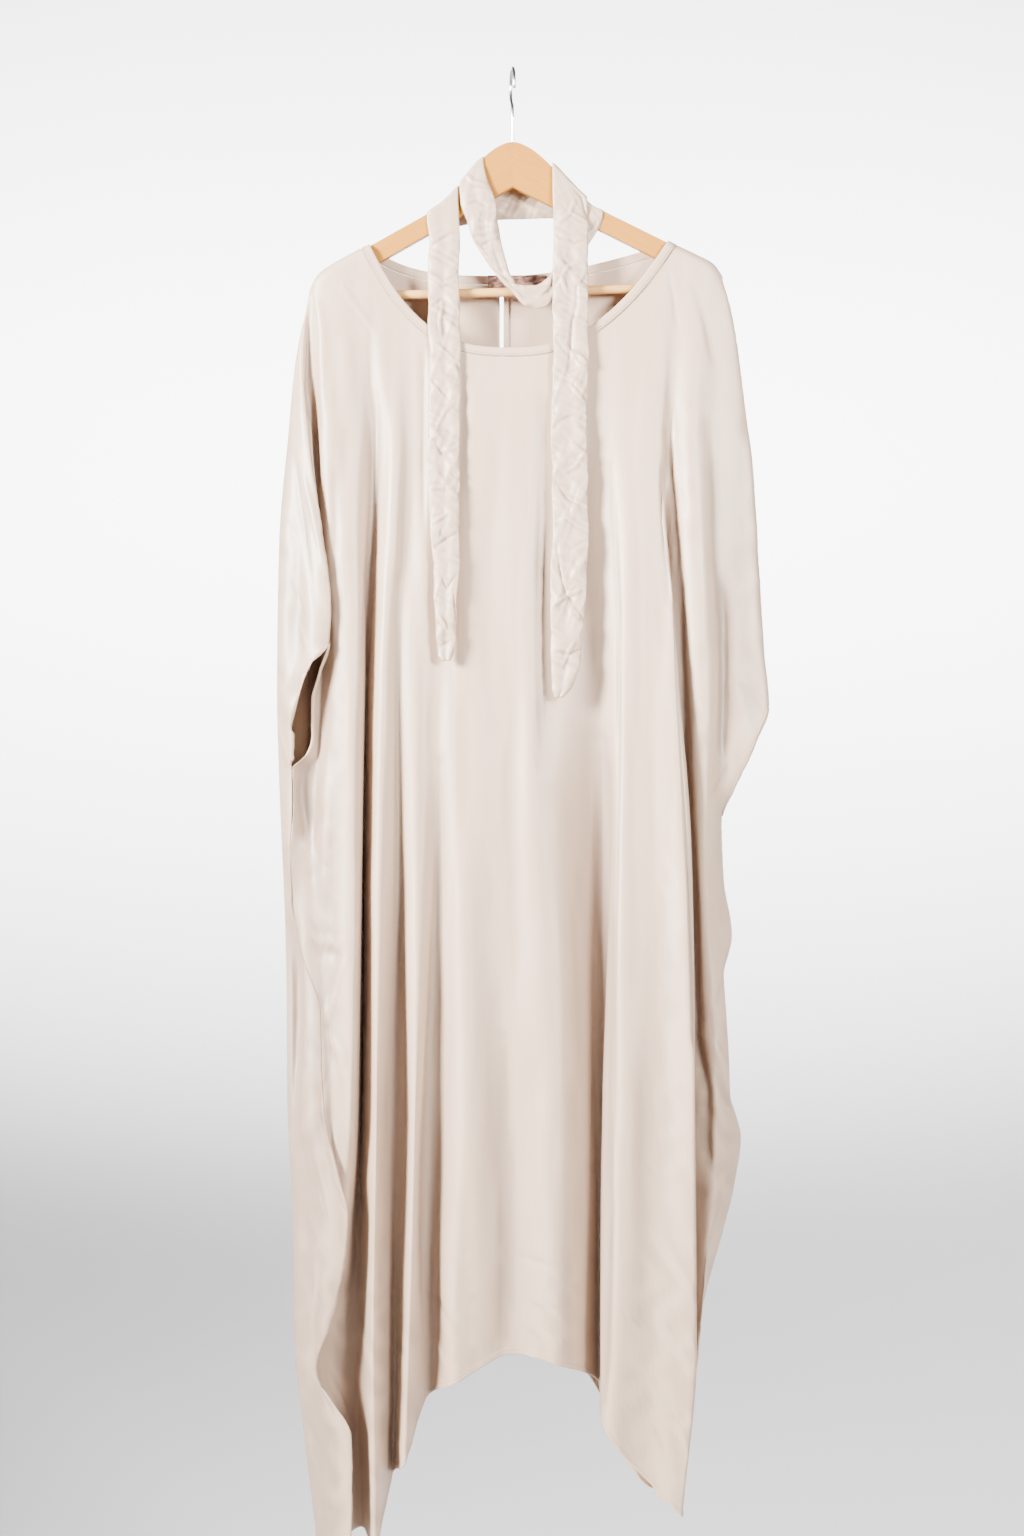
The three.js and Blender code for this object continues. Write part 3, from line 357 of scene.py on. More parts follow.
def neckline_at(part, t, away):
    """x and drop on the neckline: t runs from -1, the left neck point, to 1, the right one, and
    away is the distance from the edge into the cloth."""
    t = np.asarray(t, float)
    shape = NECK[part]
    power = np.where(t < 0, shape["left_power"], shape["right_power"])
    x = NECK["middle"] + NECK["half"] * t
    drop = NECK["top"] - NECK["tilt"] * t + shape["deep"] * (1 - np.abs(t) ** power)
    slope = -np.sign(t) * shape["deep"] * power * np.abs(t) ** (power - 1) / NECK["half"]
    normal = unit(np.stack([-slope, np.ones_like(t)], -1))
    along_arm = np.stack([np.sign(t) * math.cos(ARM_SLOPE), np.full_like(t, math.sin(ARM_SLOPE))], -1)
    normal = unit(mix(normal, along_arm, smoothstep(np.abs(t), 0.8, 1)[..., None]))
    return x + normal[..., 0] * away, drop + normal[..., 1] * away


def tops_of(part, columns):
    """The top edge of each column, on the neckline or else on the shoulder line."""
    away = NECK["band"] + SEAM_GAP

    def miss(t):
        x, drop = neckline_at(part, t, away)
        return cloth_at(part, columns, drop)[..., 0] - x

    ends = [miss(np.full(len(columns), end)) for end in (-1.0, 1.0)]
    at_left = np.abs(ends[0]) < 0.01
    at_right = np.abs(ends[1]) < 0.01
    on_neck = at_left | at_right | ((ends[0] > 0) & (ends[1] < 0))
    t = crossing(-np.ones(len(columns)), np.ones(len(columns)), miss)
    t = np.where(at_left, -1, np.where(at_right, 1, t))
    low, high = np.full(len(columns), 170.0), np.full(len(columns), 300.0)
    on_shoulder = crossing(low, high, lambda at: at - shoulder_drop(cloth_at(part, columns, at)[..., 0]))
    drop = np.where(on_neck, neckline_at(part, t, away)[1], on_shoulder)
    return drop, np.where(on_neck, t, np.nan), ~on_neck | (np.abs(t) > NEARLY_ONE)


def columns_of(part, start, end):
    """Places round the ring for the columns of a panel, with one moved onto each neck point."""
    count = (end - start) * COLUMNS_A_FOLD
    columns = [start + i / COLUMNS_A_FOLD for i in range(count + 1)]
    for side in (-1, 1):
        corner_x, corner_drop = (float(v) for v in neckline_at(part, side, NECK["band"] + SEAM_GAP))

        def miss(u, x=corner_x, drop=corner_drop):
            return cloth_at(part, u, drop)[..., 0] - x

        if (miss(start) < 0) == (miss(end) < 0):
            continue
        place = float(crossing(start, end, miss))
        nearest = min(range(len(columns)), key=lambda i: abs(columns[i] - place))
        columns[nearest] = place
        for away in NECK_POINT_STEPS:
            columns.append(float(crossing(start, end, lambda u: miss(
                u, corner_x - side * away, corner_drop + 3 * away))))
    return np.array(sorted(columns))


def wander(places, size, seed):
    """Smooth uneven values between -1 and 1 over places, in lumps about size across each way."""
    lattice = np.random.default_rng(seed).uniform(-1, 1, (32, 32, 32))
    q = places / np.array(size, float)
    base = np.floor(q).astype(int)
    f = q - base
    f = f * f * (3 - 2 * f)
    total = 0
    for corner in np.ndindex(2, 2, 2):
        weight = np.prod(np.where(corner, f, 1 - f), -1)
        i, j, k = np.moveaxis((base + corner) % 32, -1, 0)
        total = total + weight * lattice[i, j, k]
    return total


def distance_to_path(x, drop, path):
    """How far flat places are from a path of points, and how far along it they lie, 0 to 1."""
    path = np.array(path, float)
    steps = path[1:] - path[:-1]
    lengths = np.linalg.norm(steps, axis=1)
    before = np.concatenate([[0], np.cumsum(lengths)])
    nearest = np.full(x.shape, np.inf)
    along = np.zeros(x.shape)
    for start, step, length, gone in zip(path, steps, lengths, before):
        t = np.clip(((x - start[0]) * step[0] + (drop - start[1]) * step[1]) / length**2, 0, 1)
        away = np.hypot(x - start[0] - t * step[0], drop - start[1] - t * step[1])
        closer = away < nearest
        nearest = np.where(closer, away, nearest)
        along = np.where(closer, (gone + t * length) / before[-1], along)
    return nearest, along


def crease_depths(x, drop, creases):
    """How far soft creases push the cloth in. They fade out at their ends."""
    total = np.zeros(x.shape)
    for row in creases:
        xs, drops = zip(*row["path"])
        reach = 3 * row["width"]
        near = ((x > min(xs) - reach) & (x < max(xs) + reach)
                & (drop > min(drops) - reach) & (drop < max(drops) + reach))
        if not near.any():
            continue
        away, along = distance_to_path(x[near], drop[near], row["path"])
        fade = np.sin(np.pi * np.clip(along, 0.02, 0.98)) ** 0.6
        total[near] += row["depth"] * np.exp(-(away / row["width"]) ** 2) * fade
    return total


def make_mesh(name, places, faces, material, flat_places=None, sharp=None):
    """A smooth mesh object from places in millimetres, with a flat place of each as its UV."""
    mesh = bpy.data.meshes.new(name)
    mesh.from_pydata((np.asarray(places) * MM).tolist(), [], [list(face) for face in faces])
    mesh.materials.append(material)
    if flat_places is not None:
        corners = np.zeros(len(mesh.loops), int)
        mesh.loops.foreach_get("vertex_index", corners)
        layer = mesh.uv_layers.new(name="flat")
        layer.data.foreach_set("uv", (np.asarray(flat_places)[corners] * MM).ravel())
    mesh.polygons.foreach_set("use_smooth", np.ones(len(mesh.polygons), bool))
    if sharp is not None:
        mesh.set_sharp_from_angle(angle=math.radians(sharp))
    mesh.update()
    piece = bpy.data.objects.new(name, mesh)
    bpy.context.collection.objects.link(piece)
    return piece


def grid_outwards(grid, closed_across=False):
    """Outward directions of a free-standing grid, from its own points."""
    if closed_across:
        across = np.roll(grid, -1, axis=1) - np.roll(grid, 1, axis=1)
    else:
        padded = np.concatenate([grid[:, :1], grid, grid[:, -1:]], axis=1)
        across = padded[:, 2:] - padded[:, :-2]
    padded = np.concatenate([grid[:1], grid, grid[-1:]], axis=0)
    down = padded[2:] - padded[:-2]
    return unit(np.cross(down, across))


def shell(name, grid, outwards, thickness, material, closed_across=False, painted_shade=None):
    """A closed thin wall round a grid of middle points. Its UV is measured along the cloth. The painted
    shade is how deep in a fold each point of the outer face lies, 0 to 1, painted into its colour as shade."""
    rows, columns = grid.shape[:2]
    half = np.broadcast_to(np.asarray(thickness, float), (rows, columns))[..., None] / 2
    places = np.concatenate([(grid + outwards * half).reshape(-1, 3),
                             (grid - outwards * half).reshape(-1, 3)])
    middle = grid[rows // 2]
    gone = np.concatenate([[0], np.cumsum(np.linalg.norm(np.diff(middle, axis=0), axis=1))])
    fall = np.concatenate([[0], np.cumsum(np.linalg.norm(np.diff(grid.mean(axis=1), axis=0), axis=1))])
    flat = np.stack(np.broadcast_arrays(gone[None, :], fall[:, None]), -1).reshape(-1, 2)
    ids = np.arange(rows * columns).reshape(rows, columns)
    if closed_across:
        ids = np.concatenate([ids, ids[:, :1]], axis=1)
    inner = ids + rows * columns
    a, b, c, d = ids[:-1, :-1], ids[1:, :-1], ids[1:, 1:], ids[:-1, 1:]
    faces = [np.stack([a, b, c, d], -1).reshape(-1, 4),
             np.stack([a, d, c, b], -1).reshape(-1, 4) + rows * columns,
             np.stack([ids[0, :-1], ids[0, 1:], inner[0, 1:], inner[0, :-1]], -1),
             np.stack([ids[-1, :-1], inner[-1, :-1], inner[-1, 1:], ids[-1, 1:]], -1)]
    if not closed_across:
        faces.append(np.stack([ids[:-1, 0], inner[:-1, 0], inner[1:, 0], ids[1:, 0]], -1))
        faces.append(np.stack([ids[:-1, -1], ids[1:, -1], inner[1:, -1], inner[:-1, -1]], -1))
    faces = np.concatenate(faces)
    corners = places[faces]
    volume = np.einsum("ij,ij->i", corners[:, 0], np.cross(corners[:, 1], corners[:, 2])).sum()
    volume += np.einsum("ij,ij->i", corners[:, 0], np.cross(corners[:, 2], corners[:, 3])).sum()
    if volume < 0:
        faces = faces[:, ::-1]
    piece = make_mesh(name, places, faces, material, np.concatenate([flat, flat]))
    if painted_shade is not None:
        # Painted shade: the outer face's comes from the folds, the inner face's is faint and even.
        layer = piece.data.attributes.new("painted_shade", "FLOAT", "POINT")
        layer.data.foreach_set("value", np.concatenate([painted_shade.ravel(), np.full(painted_shade.size, INNER_PAINTED_SHADE)]))
    return piece


class Value:
    """A number at a socket of a finish. Sums and products of values add the finish's Math nodes."""

    def __init__(self, finish, socket):
        self.finish = finish
        self.socket = socket

    def maths(self, operation, a, b):
        return self.finish.add("ShaderNodeMath", {"operation": operation}, {0: a, 1: b})

    def __add__(self, other):
        return self.maths("ADD", self, other)

    def __mul__(self, other):
        return self.maths("MULTIPLY", self, other)

    __radd__ = __add__
    __rmul__ = __mul__


class Finish:
    """A material being made for one finish of the kaftan or its hanger."""

    def __init__(self, name):
        self.material = bpy.data.materials.new(name)
        self.material.use_nodes = True
        self.tree = self.material.node_tree
        self.tree.nodes.clear()

    def add(self, kind, settings=None, sockets=None, output=0):
        """A node of that kind: first its settings, then its sockets' values or links."""
        node = self.tree.nodes.new(kind)
        for name, value in (settings or {}).items():
            if name == "stops":
                for i, (place, shade) in enumerate(value):
                    stop = node.color_ramp.elements[i] if i < 2 else node.color_ramp.elements.new(place)
                    stop.position = place
                    stop.color = (*shade, 1)
            else:
                setattr(node, name, value)
        for name, value in (sockets or {}).items():
            if isinstance(value, Value):
                self.tree.links.new(value.socket, node.inputs[name])
            else:
                node.inputs[name].default_value = value
        return Value(self, node.outputs[output]) if node.outputs else None

    def flat_place(self, across, down):
        """The piece's UV, in metres along the cloth, stretched to that many lumps a metre."""
        place = self.add("ShaderNodeUVMap", {"uv_map": "flat"})
        return self.add("ShaderNodeMapping", {}, {"Vector": place, "Scale": (across, down, 1)})

    def lumps(self, place, detail=2.0, roughness=0.5):
        return self.add("ShaderNodeTexNoise", {}, {
            "Vector": place, "Scale": 1.0, "Detail": detail, "Roughness": roughness})

    def blend(self, factor, first, second):
        """A colour between two colours."""
        return self.add("ShaderNodeMix", {"data_type": "RGBA"}, {
            0: factor, 6: first, 7: second}, output=2)

    def bump(self, height, distance):
        """Relief of that height in metres."""
        return self.add("ShaderNodeBump", {}, {"Height": height, "Distance": distance, "Strength": 1.0})

    def shade(self, sockets):
        surface = self.add("ShaderNodeBsdfPrincipled", {}, sockets)
        self.add("ShaderNodeOutputMaterial", {}, {"Surface": surface})
        return self.material


def satin():
    """Pale warm satin: long fine threads down the cloth, a soft sheen, and painted shade, a browner colour,
    in folds.
    """
    finish = Finish("satin")
    threads = finish.lumps(finish.flat_place(2400, 130), detail=1.5)
    slubs = finish.lumps(finish.flat_place(420, 16), detail=2.0)
    tone = finish.lumps(finish.flat_place(24, 7), detail=3.0)
    painted_shade = finish.add("ShaderNodeAttribute", {"attribute_name": "painted_shade"}, output=2)
    colour = finish.blend(tone * 0.6 + slubs * 0.4, (0.485, 0.335, 0.232, 1), (0.615, 0.45, 0.328, 1))
    # Painted shade: the colour turns brown in folds and creases, as far as the point attribute says.
    colour = finish.blend(painted_shade * 0.6, colour, (0.21, 0.148, 0.112, 1))
    height = threads * 0.5 + slubs * 0.5
    return finish.shade({
        "Base Color": colour,
        "Roughness": slubs * 0.12 + 0.36,
        "Normal": finish.bump(height, 0.00018),
        "Specular IOR Level": 0.5,
        "Sheen Weight": 0.06,
        "Sheen Roughness": 0.45,
        "Sheen Tint": (0.98, 0.94, 0.9, 1),
    })


def sewing_thread():
    finish = Finish("sewing_thread")
    place = finish.add("ShaderNodeTexCoord", {}, {}, output=3)
    fibre = finish.lumps(finish.add("ShaderNodeMapping", {}, {"Vector": place, "Scale": (3000, 3000, 3000)}))
    return finish.shade({
        "Base Color": finish.blend(fibre, (0.26, 0.17, 0.115, 1), (0.36, 0.25, 0.18, 1)),
        "Roughness": 0.55,
        "Normal": finish.bump(fibre, 0.0001),
        "Sheen Weight": 0.2,
    })


def wood(name, pale, deep):
    """Pale close-grained wood under a thin varnish. The grain runs along the piece's first UV."""
    finish = Finish(name)
    rays = finish.lumps(finish.flat_place(260, 2600), detail=2.0)
    bands = finish.lumps(finish.flat_place(5, 130), detail=4.0, roughness=0.62)
    fleck = finish.add("ShaderNodeValToRGB", {"stops": [(0.5, (0, 0, 0)), (0.72, (1, 1, 1))]}, {
        "Fac": finish.lumps(finish.flat_place(34, 620), detail=3.0)})
    colour = finish.blend(bands, (*pale, 1), (*deep, 1))
    colour = finish.blend(fleck * 0.4, colour, (0.3, 0.1, 0.012, 1))
    return finish.shade({
        "Base Color": colour,
        "Roughness": bands * 0.16 + 0.38,
        "Normal": finish.bump(rays * 0.6 + bands * 0.4, 0.00025),
        "Specular IOR Level": 0.3,
        "Coat Weight": 0.1,
        "Coat Roughness": 0.3,
    })


def plated_wire():
    finish = Finish("plated_wire")
    place = finish.add("ShaderNodeTexCoord", {}, {}, output=3)
    scuffs = finish.lumps(finish.add("ShaderNodeMapping", {}, {"Vector": place, "Scale": (900, 900, 260)}))
    return finish.shade({
        "Base Color": finish.blend(scuffs, (0.62, 0.63, 0.65, 1), (0.8, 0.8, 0.81, 1)),
        "Metallic": 1.0,
        "Roughness": scuffs * 0.18 + 0.16,
        "Normal": finish.bump(scuffs, 0.00008),
    })


def woven_label():
    """A bare woven tape with a raised basket weave."""
    finish = Finish("woven_label")
    place = finish.flat_place(1, 1)
    ribs = finish.add("ShaderNodeTexWave", {"bands_direction": "X"}, {"Vector": place, "Scale": 420.0})
    picks = finish.add("ShaderNodeTexWave", {"bands_direction": "Y"}, {"Vector": place, "Scale": 300.0})
    tone = finish.add("ShaderNodeValToRGB", {"stops": [(0.4, (0, 0, 0)), (0.62, (1, 1, 1))]}, {
        "Fac": finish.lumps(finish.flat_place(150, 260), detail=3.0)})
    return finish.shade({
        "Base Color": finish.blend(tone, (0.04, 0.014, 0.008, 1), (0.27, 0.125, 0.085, 1)),
        "Roughness": 0.75,
        "Normal": finish.bump(ribs * picks, 0.0003),
    })


SATIN = satin()
THREAD = sewing_thread()
ARM_WOOD = wood("arm_wood", (0.52, 0.235, 0.03), (0.38, 0.135, 0.01))
BAR_WOOD = wood("bar_wood", (0.72, 0.42, 0.15), (0.6, 0.31, 0.09))
WIRE = plated_wire()
WOVEN = woven_label()


def keep(piece, node):
    """The piece joins the root, and the named part's own mesh, if any, is hidden."""
    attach(piece, root)
    if node:
        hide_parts(node)
    return piece


def crease(width, depth, *path):
    """A soft crease along a path of (x, drop). It is pushed in by its depth, or raised if that is
    less than 0."""
    return {"path": path, "width": width, "depth": depth}


# Soft creases over the main folds, on the cloth that faces forward.
FRONT_CREASES = [
    # Left shoulder
    crease(2.2, -1.5, (-211, 228), (-198, 233), (-187, 242), (-178, 255), (-166, 271), (-148, 294)),
    crease(3, -1.6, (-219, 243), (-213, 263), (-209, 288), (-209, 317), (-208, 356), (-206, 387)),
    crease(2, 0.9, (-187, 216), (-173, 232)),
    crease(2, 0.8, (-173, 210), (-168, 225)),
    crease(2, 0.9, (-181, 228), (-171, 242)),
    crease(3, 1, (-148, 245), (-129, 269)),
    crease(9, -2.4, (-183, 290), (-183, 330), (-182, 400)),
    crease(7, 3, (-156, 258), (-156, 400), (-158, 480)),
    crease(8, -2.6, (-125, 290), (-126, 420), (-130, 560)),
    crease(3, 6, (-224, 262), (-223, 345), (-219, 400), (-214, 455)),
    # Left sleeve
    crease(3, -2, (-230, 446), (-218, 488), (-208, 531), (-202, 559)),
    crease(4, 2, (-240, 420), (-232, 480), (-222, 540), (-214, 590)),
    crease(2, 1, (-246, 500), (-236, 520)),
    crease(2, 1, (-243, 560), (-226, 600)),
    crease(2.5, -1.4, (-232, 610), (-222, 640)),
    crease(2, -1.4, (-259, 711), (-250, 740), (-240, 768)),
    crease(5, 2.6, (-215, 763), (-215, 815), (-220, 850)),
    crease(6, -2.4, (-199, 770), (-202, 850), (-205, 912)),
    crease(1.6, 1.2, (-238, 896), (-210, 880), (-194, 869)),
    crease(1.5, 0.9, (-236, 840), (-222, 846), (-210, 862)),
    # Left column and the folds beside it
    crease(2, -1, (-209, 400), (-208, 500)),
    crease(2.5, -1.3, (-177, 650), (-175, 760), (-174, 870)),
    crease(5, 3, (-194, 440), (-192, 540)),
    crease(5, 6, (-149, 360), (-151, 450), (-154, 531), (-158, 602), (-160, 660)),
    crease(6, 5, (-126, 560), (-126, 673), (-123, 900), (-122, 1150), (-124, 1400)),
    crease(7, 3.4, (-101, 620), (-100, 800), (-104, 1000)),
    crease(6, 6, (-77, 760), (-79, 830), (-84, 945), (-88, 1114), (-92, 1330)),
    crease(9, 6, (-88, 1130), (-90, 1290), (-86, 1400), (-80, 1440)),
    crease(4, 3, (-97, 240), (-98, 400), (-97, 530)),
    crease(3, 2.6, (-54, 258), (-54, 480)),
    crease(3.5, -2.4, (-84, 836), (-90, 1021), (-97, 1114)),
    crease(9, 2.6, (-60, 330), (-66, 500), (-70, 700)),
    # Middle
    crease(6.5, 6, (33, 360), (35, 480), (36, 600), (36, 690), (30, 770)),
    crease(14, -2.4, (0, 380), (-8, 520), (-12, 700)),
    crease(14, 2, (-38, 820), (-30, 1000), (-26, 1200), (-28, 1330)),
    crease(10, 5, (-8, 1060), (-4, 1290), (-12, 1400)),
    crease(10, 3, (75, 430), (82, 560), (88, 700), (91, 790)),
    crease(12, 8, (95, 740), (98, 880), (97, 1060), (96, 1200)),
    crease(6, 9, (97, 1130), (102, 1230), (102, 1340), (100, 1450)),
    crease(2.6, 4, (109, 436), (115, 602), (114, 696), (111, 912), (109, 1130), (104, 1300)),
    # Right column, sleeve and side
    crease(12, -2, (145, 330), (146, 520), (150, 700)),
    crease(3.5, 5, (168, 400), (175, 460), (181, 555), (186, 650), (190, 758)),
    crease(5, 4, (163, 430), (166, 500), (170, 590)),
    crease(4.5, 12, (180, 570), (182, 650), (186, 740), (190, 820), (195, 900), (198, 980), (200, 1060),
           (212, 1120), (214, 1190)),
    crease(2, -1.5, (177, 380), (178, 470)),
    crease(4, 2.4, (220, 413), (221, 507), (223, 555), (228, 650)),
    crease(6, 7, (230, 560), (232, 620), (232, 690), (228, 760)),
    crease(8, -2.2, (204, 420), (206, 560), (208, 700)),
    crease(1.2, 0.8, (229, 616), (244, 588)),
    crease(1.2, 0.8, (234, 660), (265, 694)),
    crease(2, 0.9, (238, 260), (250, 290)),
    crease(4, 1.6, (196, 236), (212, 280), (222, 330)),
    crease(3, 1.2, (168, 214), (176, 250), (180, 290)),
    crease(2, 0.9, (238, 760), (214, 800)),
    crease(1.6, 1.2, (238, 950), (230, 994), (217, 1038)),
    crease(3, -2.2, (216, 1065), (226, 1085), (237, 1105)),
    crease(5, 2.8, (222, 1100), (230, 1120), (238, 1140)),
    crease(6, 4, (207, 1150), (211, 1180), (217, 1213)),
    crease(4, -2.6, (217, 1127), (227, 1150), (240, 1165)),
    crease(4, -2.6, (230, 1210), (214, 1240)),
    crease(3, 1.4, (226, 1240), (214, 1290), (206, 1340)),
    # Lower left
    crease(8, 9, (-244, 860), (-240, 960), (-238, 1040), (-240, 1150)),
    crease(7, 8, (-226, 756), (-226, 800), (-221, 850)),
    crease(2.5, -2.2, (-222, 945), (-207, 958), (-180, 959)),
    crease(4, 2, (-210, 968), (-182, 970)),
    crease(2, -1.6, (-180, 970), (-205, 1049)),
    crease(1.6, 1.3, (-190, 978), (-206, 1028)),
    crease(1.6, 1.2, (-199, 1043), (-195, 1092)),
    crease(4, -2, (-204, 1054), (-186, 1076), (-183, 1103)),
    crease(2, 1.4, (-220, 1174), (-199, 1256)),
    crease(2, 1.3, (-217, 1188), (-211, 1235), (-202, 1258)),
    crease(4, -1.8, (-216, 1270), (-212, 1330), (-218, 1380)),
    crease(4, 3.4, (-237, 1463), (-221, 1490), (-199, 1534)),
    crease(4, -2.6, (-244, 1440), (-232, 1501), (-221, 1566)),
    crease(3, 1.6, (-212, 1400), (-206, 1440), (-190, 1470)),
    crease(1.1, 1.4, (-204, 1420), (-171, 1487)),
    # Over the hem
    crease(2.5, 1.5, (-104, 1330), (-92, 1340), (-75, 1359)),
    crease(3, -1.5, (-96, 1381), (-69, 1419)),
    crease(3, 1.4, (-80, 1348), (-47, 1397)),
    crease(3, 1.3, (-60, 1300), (-36, 1356)),
    crease(2, 0.9, (-14, 1294), (20, 1298), (51, 1307)),
    crease(2, 0.8, (-10, 1340), (30, 1350), (64, 1349)),
    crease(2, 0.8, (12, 1376), (60, 1381)),
    crease(1.2, 0.8, (109, 1165), (129, 1185)),
    crease(1.2, 0.8, (129, 1175), (150, 1207)),
    crease(1.4, 1, (100, 1346), (125, 1363), (164, 1378)),
    crease(1.4, 0.8, (138, 1466), (192, 1469)),
    crease(2, 0.9, (155, 1480), (163, 1512)),
]

# The two seams that lie on the front, each a sewn groove.
SEAM_GROOVES = [
    crease(1, 1.7, (-198, 1093), (-207, 1119), (-207, 1141), (-199, 1179), (-191, 1218), (-174, 1259)),
    crease(0.9, 1.5, (217, 1034), (217, 1048), (218, 1062)),
    crease(0.9, 1.3, (222, 1034), (222, 1046), (221, 1060)),
]

# Soft creases on the cloth that faces back.
BACK_CREASES = [
    crease(3, -1.6, (-196, 236), (-170, 270), (-150, 320), (-140, 380)),
    crease(3, 1.5, (-170, 215), (-140, 262), (-120, 330)),
    crease(8, 2.6, (-60, 300), (-56, 420), (-52, 560)),
    crease(9, -2.4, (-110, 330), (-104, 520), (-100, 700)),
    crease(7, 3.4, (-150, 420), (-148, 600), (-144, 760)),
    crease(3, 1.6, (190, 230), (160, 268), (138, 330)),
    crease(3, -1.5, (204, 240), (182, 290), (174, 350)),
    crease(9, -2.4, (96, 330), (92, 520), (96, 720)),
    crease(7, 3.4, (60, 420), (56, 600), (58, 780)),
    crease(8, 4, (-80, 800), (-78, 980), (-76, 1180), (-74, 1360)),
    crease(8, 4, (-148, 860), (-150, 1060), (-144, 1320)),
    crease(9, 4.4, (62, 820), (64, 1000), (64, 1230)),
    crease(7, 3.6, (142, 760), (144, 980), (138, 1280)),
    crease(2, 1.1, (-30, 640), (-10, 660)),
    crease(2, -1.2, (100, 1240), (128, 1262), (150, 1266)),
    crease(2, 1.1, (-120, 1300), (-92, 1322)),
    crease(2, 1, (-48, 1330), (-10, 1342), (24, 1338)),
    crease(3, -1.6, (-200, 900), (-184, 930), (-170, 990)),
    crease(2, 1.2, (-206, 1180), (-180, 1204)),
    crease(2, 1.2, (196, 900), (180, 940)),
]


def side_gap(u, drop):
    cuff = RIGHT_CUFF if u == RIGHT_SIDE else LEFT_CUFF
    below = drop - cuff["front"][-1][0]
    return np.where((below > -40) & (below < 60), 2 * SEAM_GAP, SEAM_GAP / 2)


def centre_back_gap(u, drop):
    if u != CENTRE_BACK:
        return side_gap(u, drop)
    closed = smoothstep(drop, BACK_SLIT["bottom"] - 40, BACK_SLIT["bottom"])
    return mix(BACK_SLIT["half_gap"], SEAM_GAP / 2, closed)


def hem_rows_thickness(rows):
    """The turned-up hem is three layers thick, drawn in where it is sewn."""
    layers = smooth_curve([0, 1.2, 4.4, 5.1, 5.8, 7], [1.4, 2.6, 2.5, 1.5, 1.6, 1])
    return CLOTH_THICK * layers(np.array(rows, float))


def painted_shade_in_folds(y, outwards):
    """Painted shade in the folds, 0 to 1: how deep each place of a panel lies beside its neighbours of one
    fold either way.
    """
    reach = COLUMNS_A_FOLD
    columns = y.shape[1]
    painted_shade = np.zeros(y.shape)
    for side in (-1, 1):
        height = side * y
        padded = np.pad(height, ((0, 0), (reach, reach)), mode="edge")
        crown = np.max([padded[:, i:i + columns] for i in range(2 * reach + 1)], axis=0)
        deep = np.clip((crown - height) / FOLD_SHADE_DEPTH, 0, 1)
        painted_shade += deep * smoothstep(side * outwards[..., 1], -0.3, 0.3)
    padded = np.pad(painted_shade, ((0, 0), (1, 1)), mode="edge")
    return (padded[:, :-2] + 2 * painted_shade + padded[:, 2:]) / 4


def fine_dips(lift, reach):
    """How far each place lies below what surrounds it, so that creases take painted shade."""
    around = sum(np.roll(lift, step, axis) for step in (-reach, reach) for axis in (0, 1)) / 4
    return around - lift


def uneven_lift(points, drops, tops, flat_on):
    """Small waves and slanting wrinkles that grow below the shoulders, and more so at the sides and
    the hem."""
    loose = smoothstep(drops - tops, 20, 260)
    lift = 2.4 * wander(points, (40, 90, 420), 4) * loose
    lift += 2.2 * wander(points, (18, 60, 190), 5) * loose * flat_on
    lift += 0.5 * wander(points, (8, 40, 60), 6) * loose * flat_on
    creased = smoothstep(np.abs(points[..., 0] + 6), 150, 205) + smoothstep(drops, 1200, 1420)
    slant = np.stack([points[..., 0] - 0.6 * drops, points[..., 1], points[..., 0] + 0.9 * drops], -1)
    return lift - 1.5 * np.abs(wander(slant, (26, 60, 44), 7)) * flat_on * loose * creased


def sewn_lift(points, drops, tops, hems):
    """Puckers along the sewn side edges of a panel, and a ripple along its hem."""
    across = np.linalg.norm(np.diff(points, axis=1), axis=2)
    gone = np.concatenate([np.zeros((len(drops), 1)), np.cumsum(across, axis=1)], axis=1)
    from_edge = np.minimum(gone, gone[:, -1:] - gone)
    pucker = np.sin(drops / 2.1 + 3 * np.sin(drops / 23)) * (0.55 + 0.45 * np.sin(drops / 41 + 1))
    lift = 0.35 * pucker * np.exp(-from_edge / 5) * smoothstep(drops - tops, 12, 40)
    ripple = np.sin(gone / 5.2 + 2 * np.sin(gone / 37)) * np.exp((drops - hems) / 9)
    return lift + 0.3 * ripple


def painted_cloth_shade(points, outwards, drops, tops, lift, pushed):
    """Painted shade on the outer face: deepest in the folds and creases, deeper at the left and below."""
    # Painted shade down the left side, and a painted falloff of the light towards the hem.
    left = smoothstep(-points[..., 0], 165, 215) * smoothstep(drops, 250, 420)
    shade = left * (0.36 + 0.3 * smoothstep(drops, 640, 900)) + 0.08 * smoothstep(drops, 900, 1380)
    # Painted shade in fine dips.
    shade += np.clip(0.95 * fine_dips(lift, 2), -0.08, 0.3) * smoothstep(drops - tops, 12, 60)
    # Painted shade in the folds and in creases pushed in.
    painted_shade = np.clip(painted_shade_in_folds(points[..., 1], outwards) + np.maximum(pushed, 0) / 10, 0, 1) ** 1.5
    return np.clip(painted_shade + shade, 0, 1)


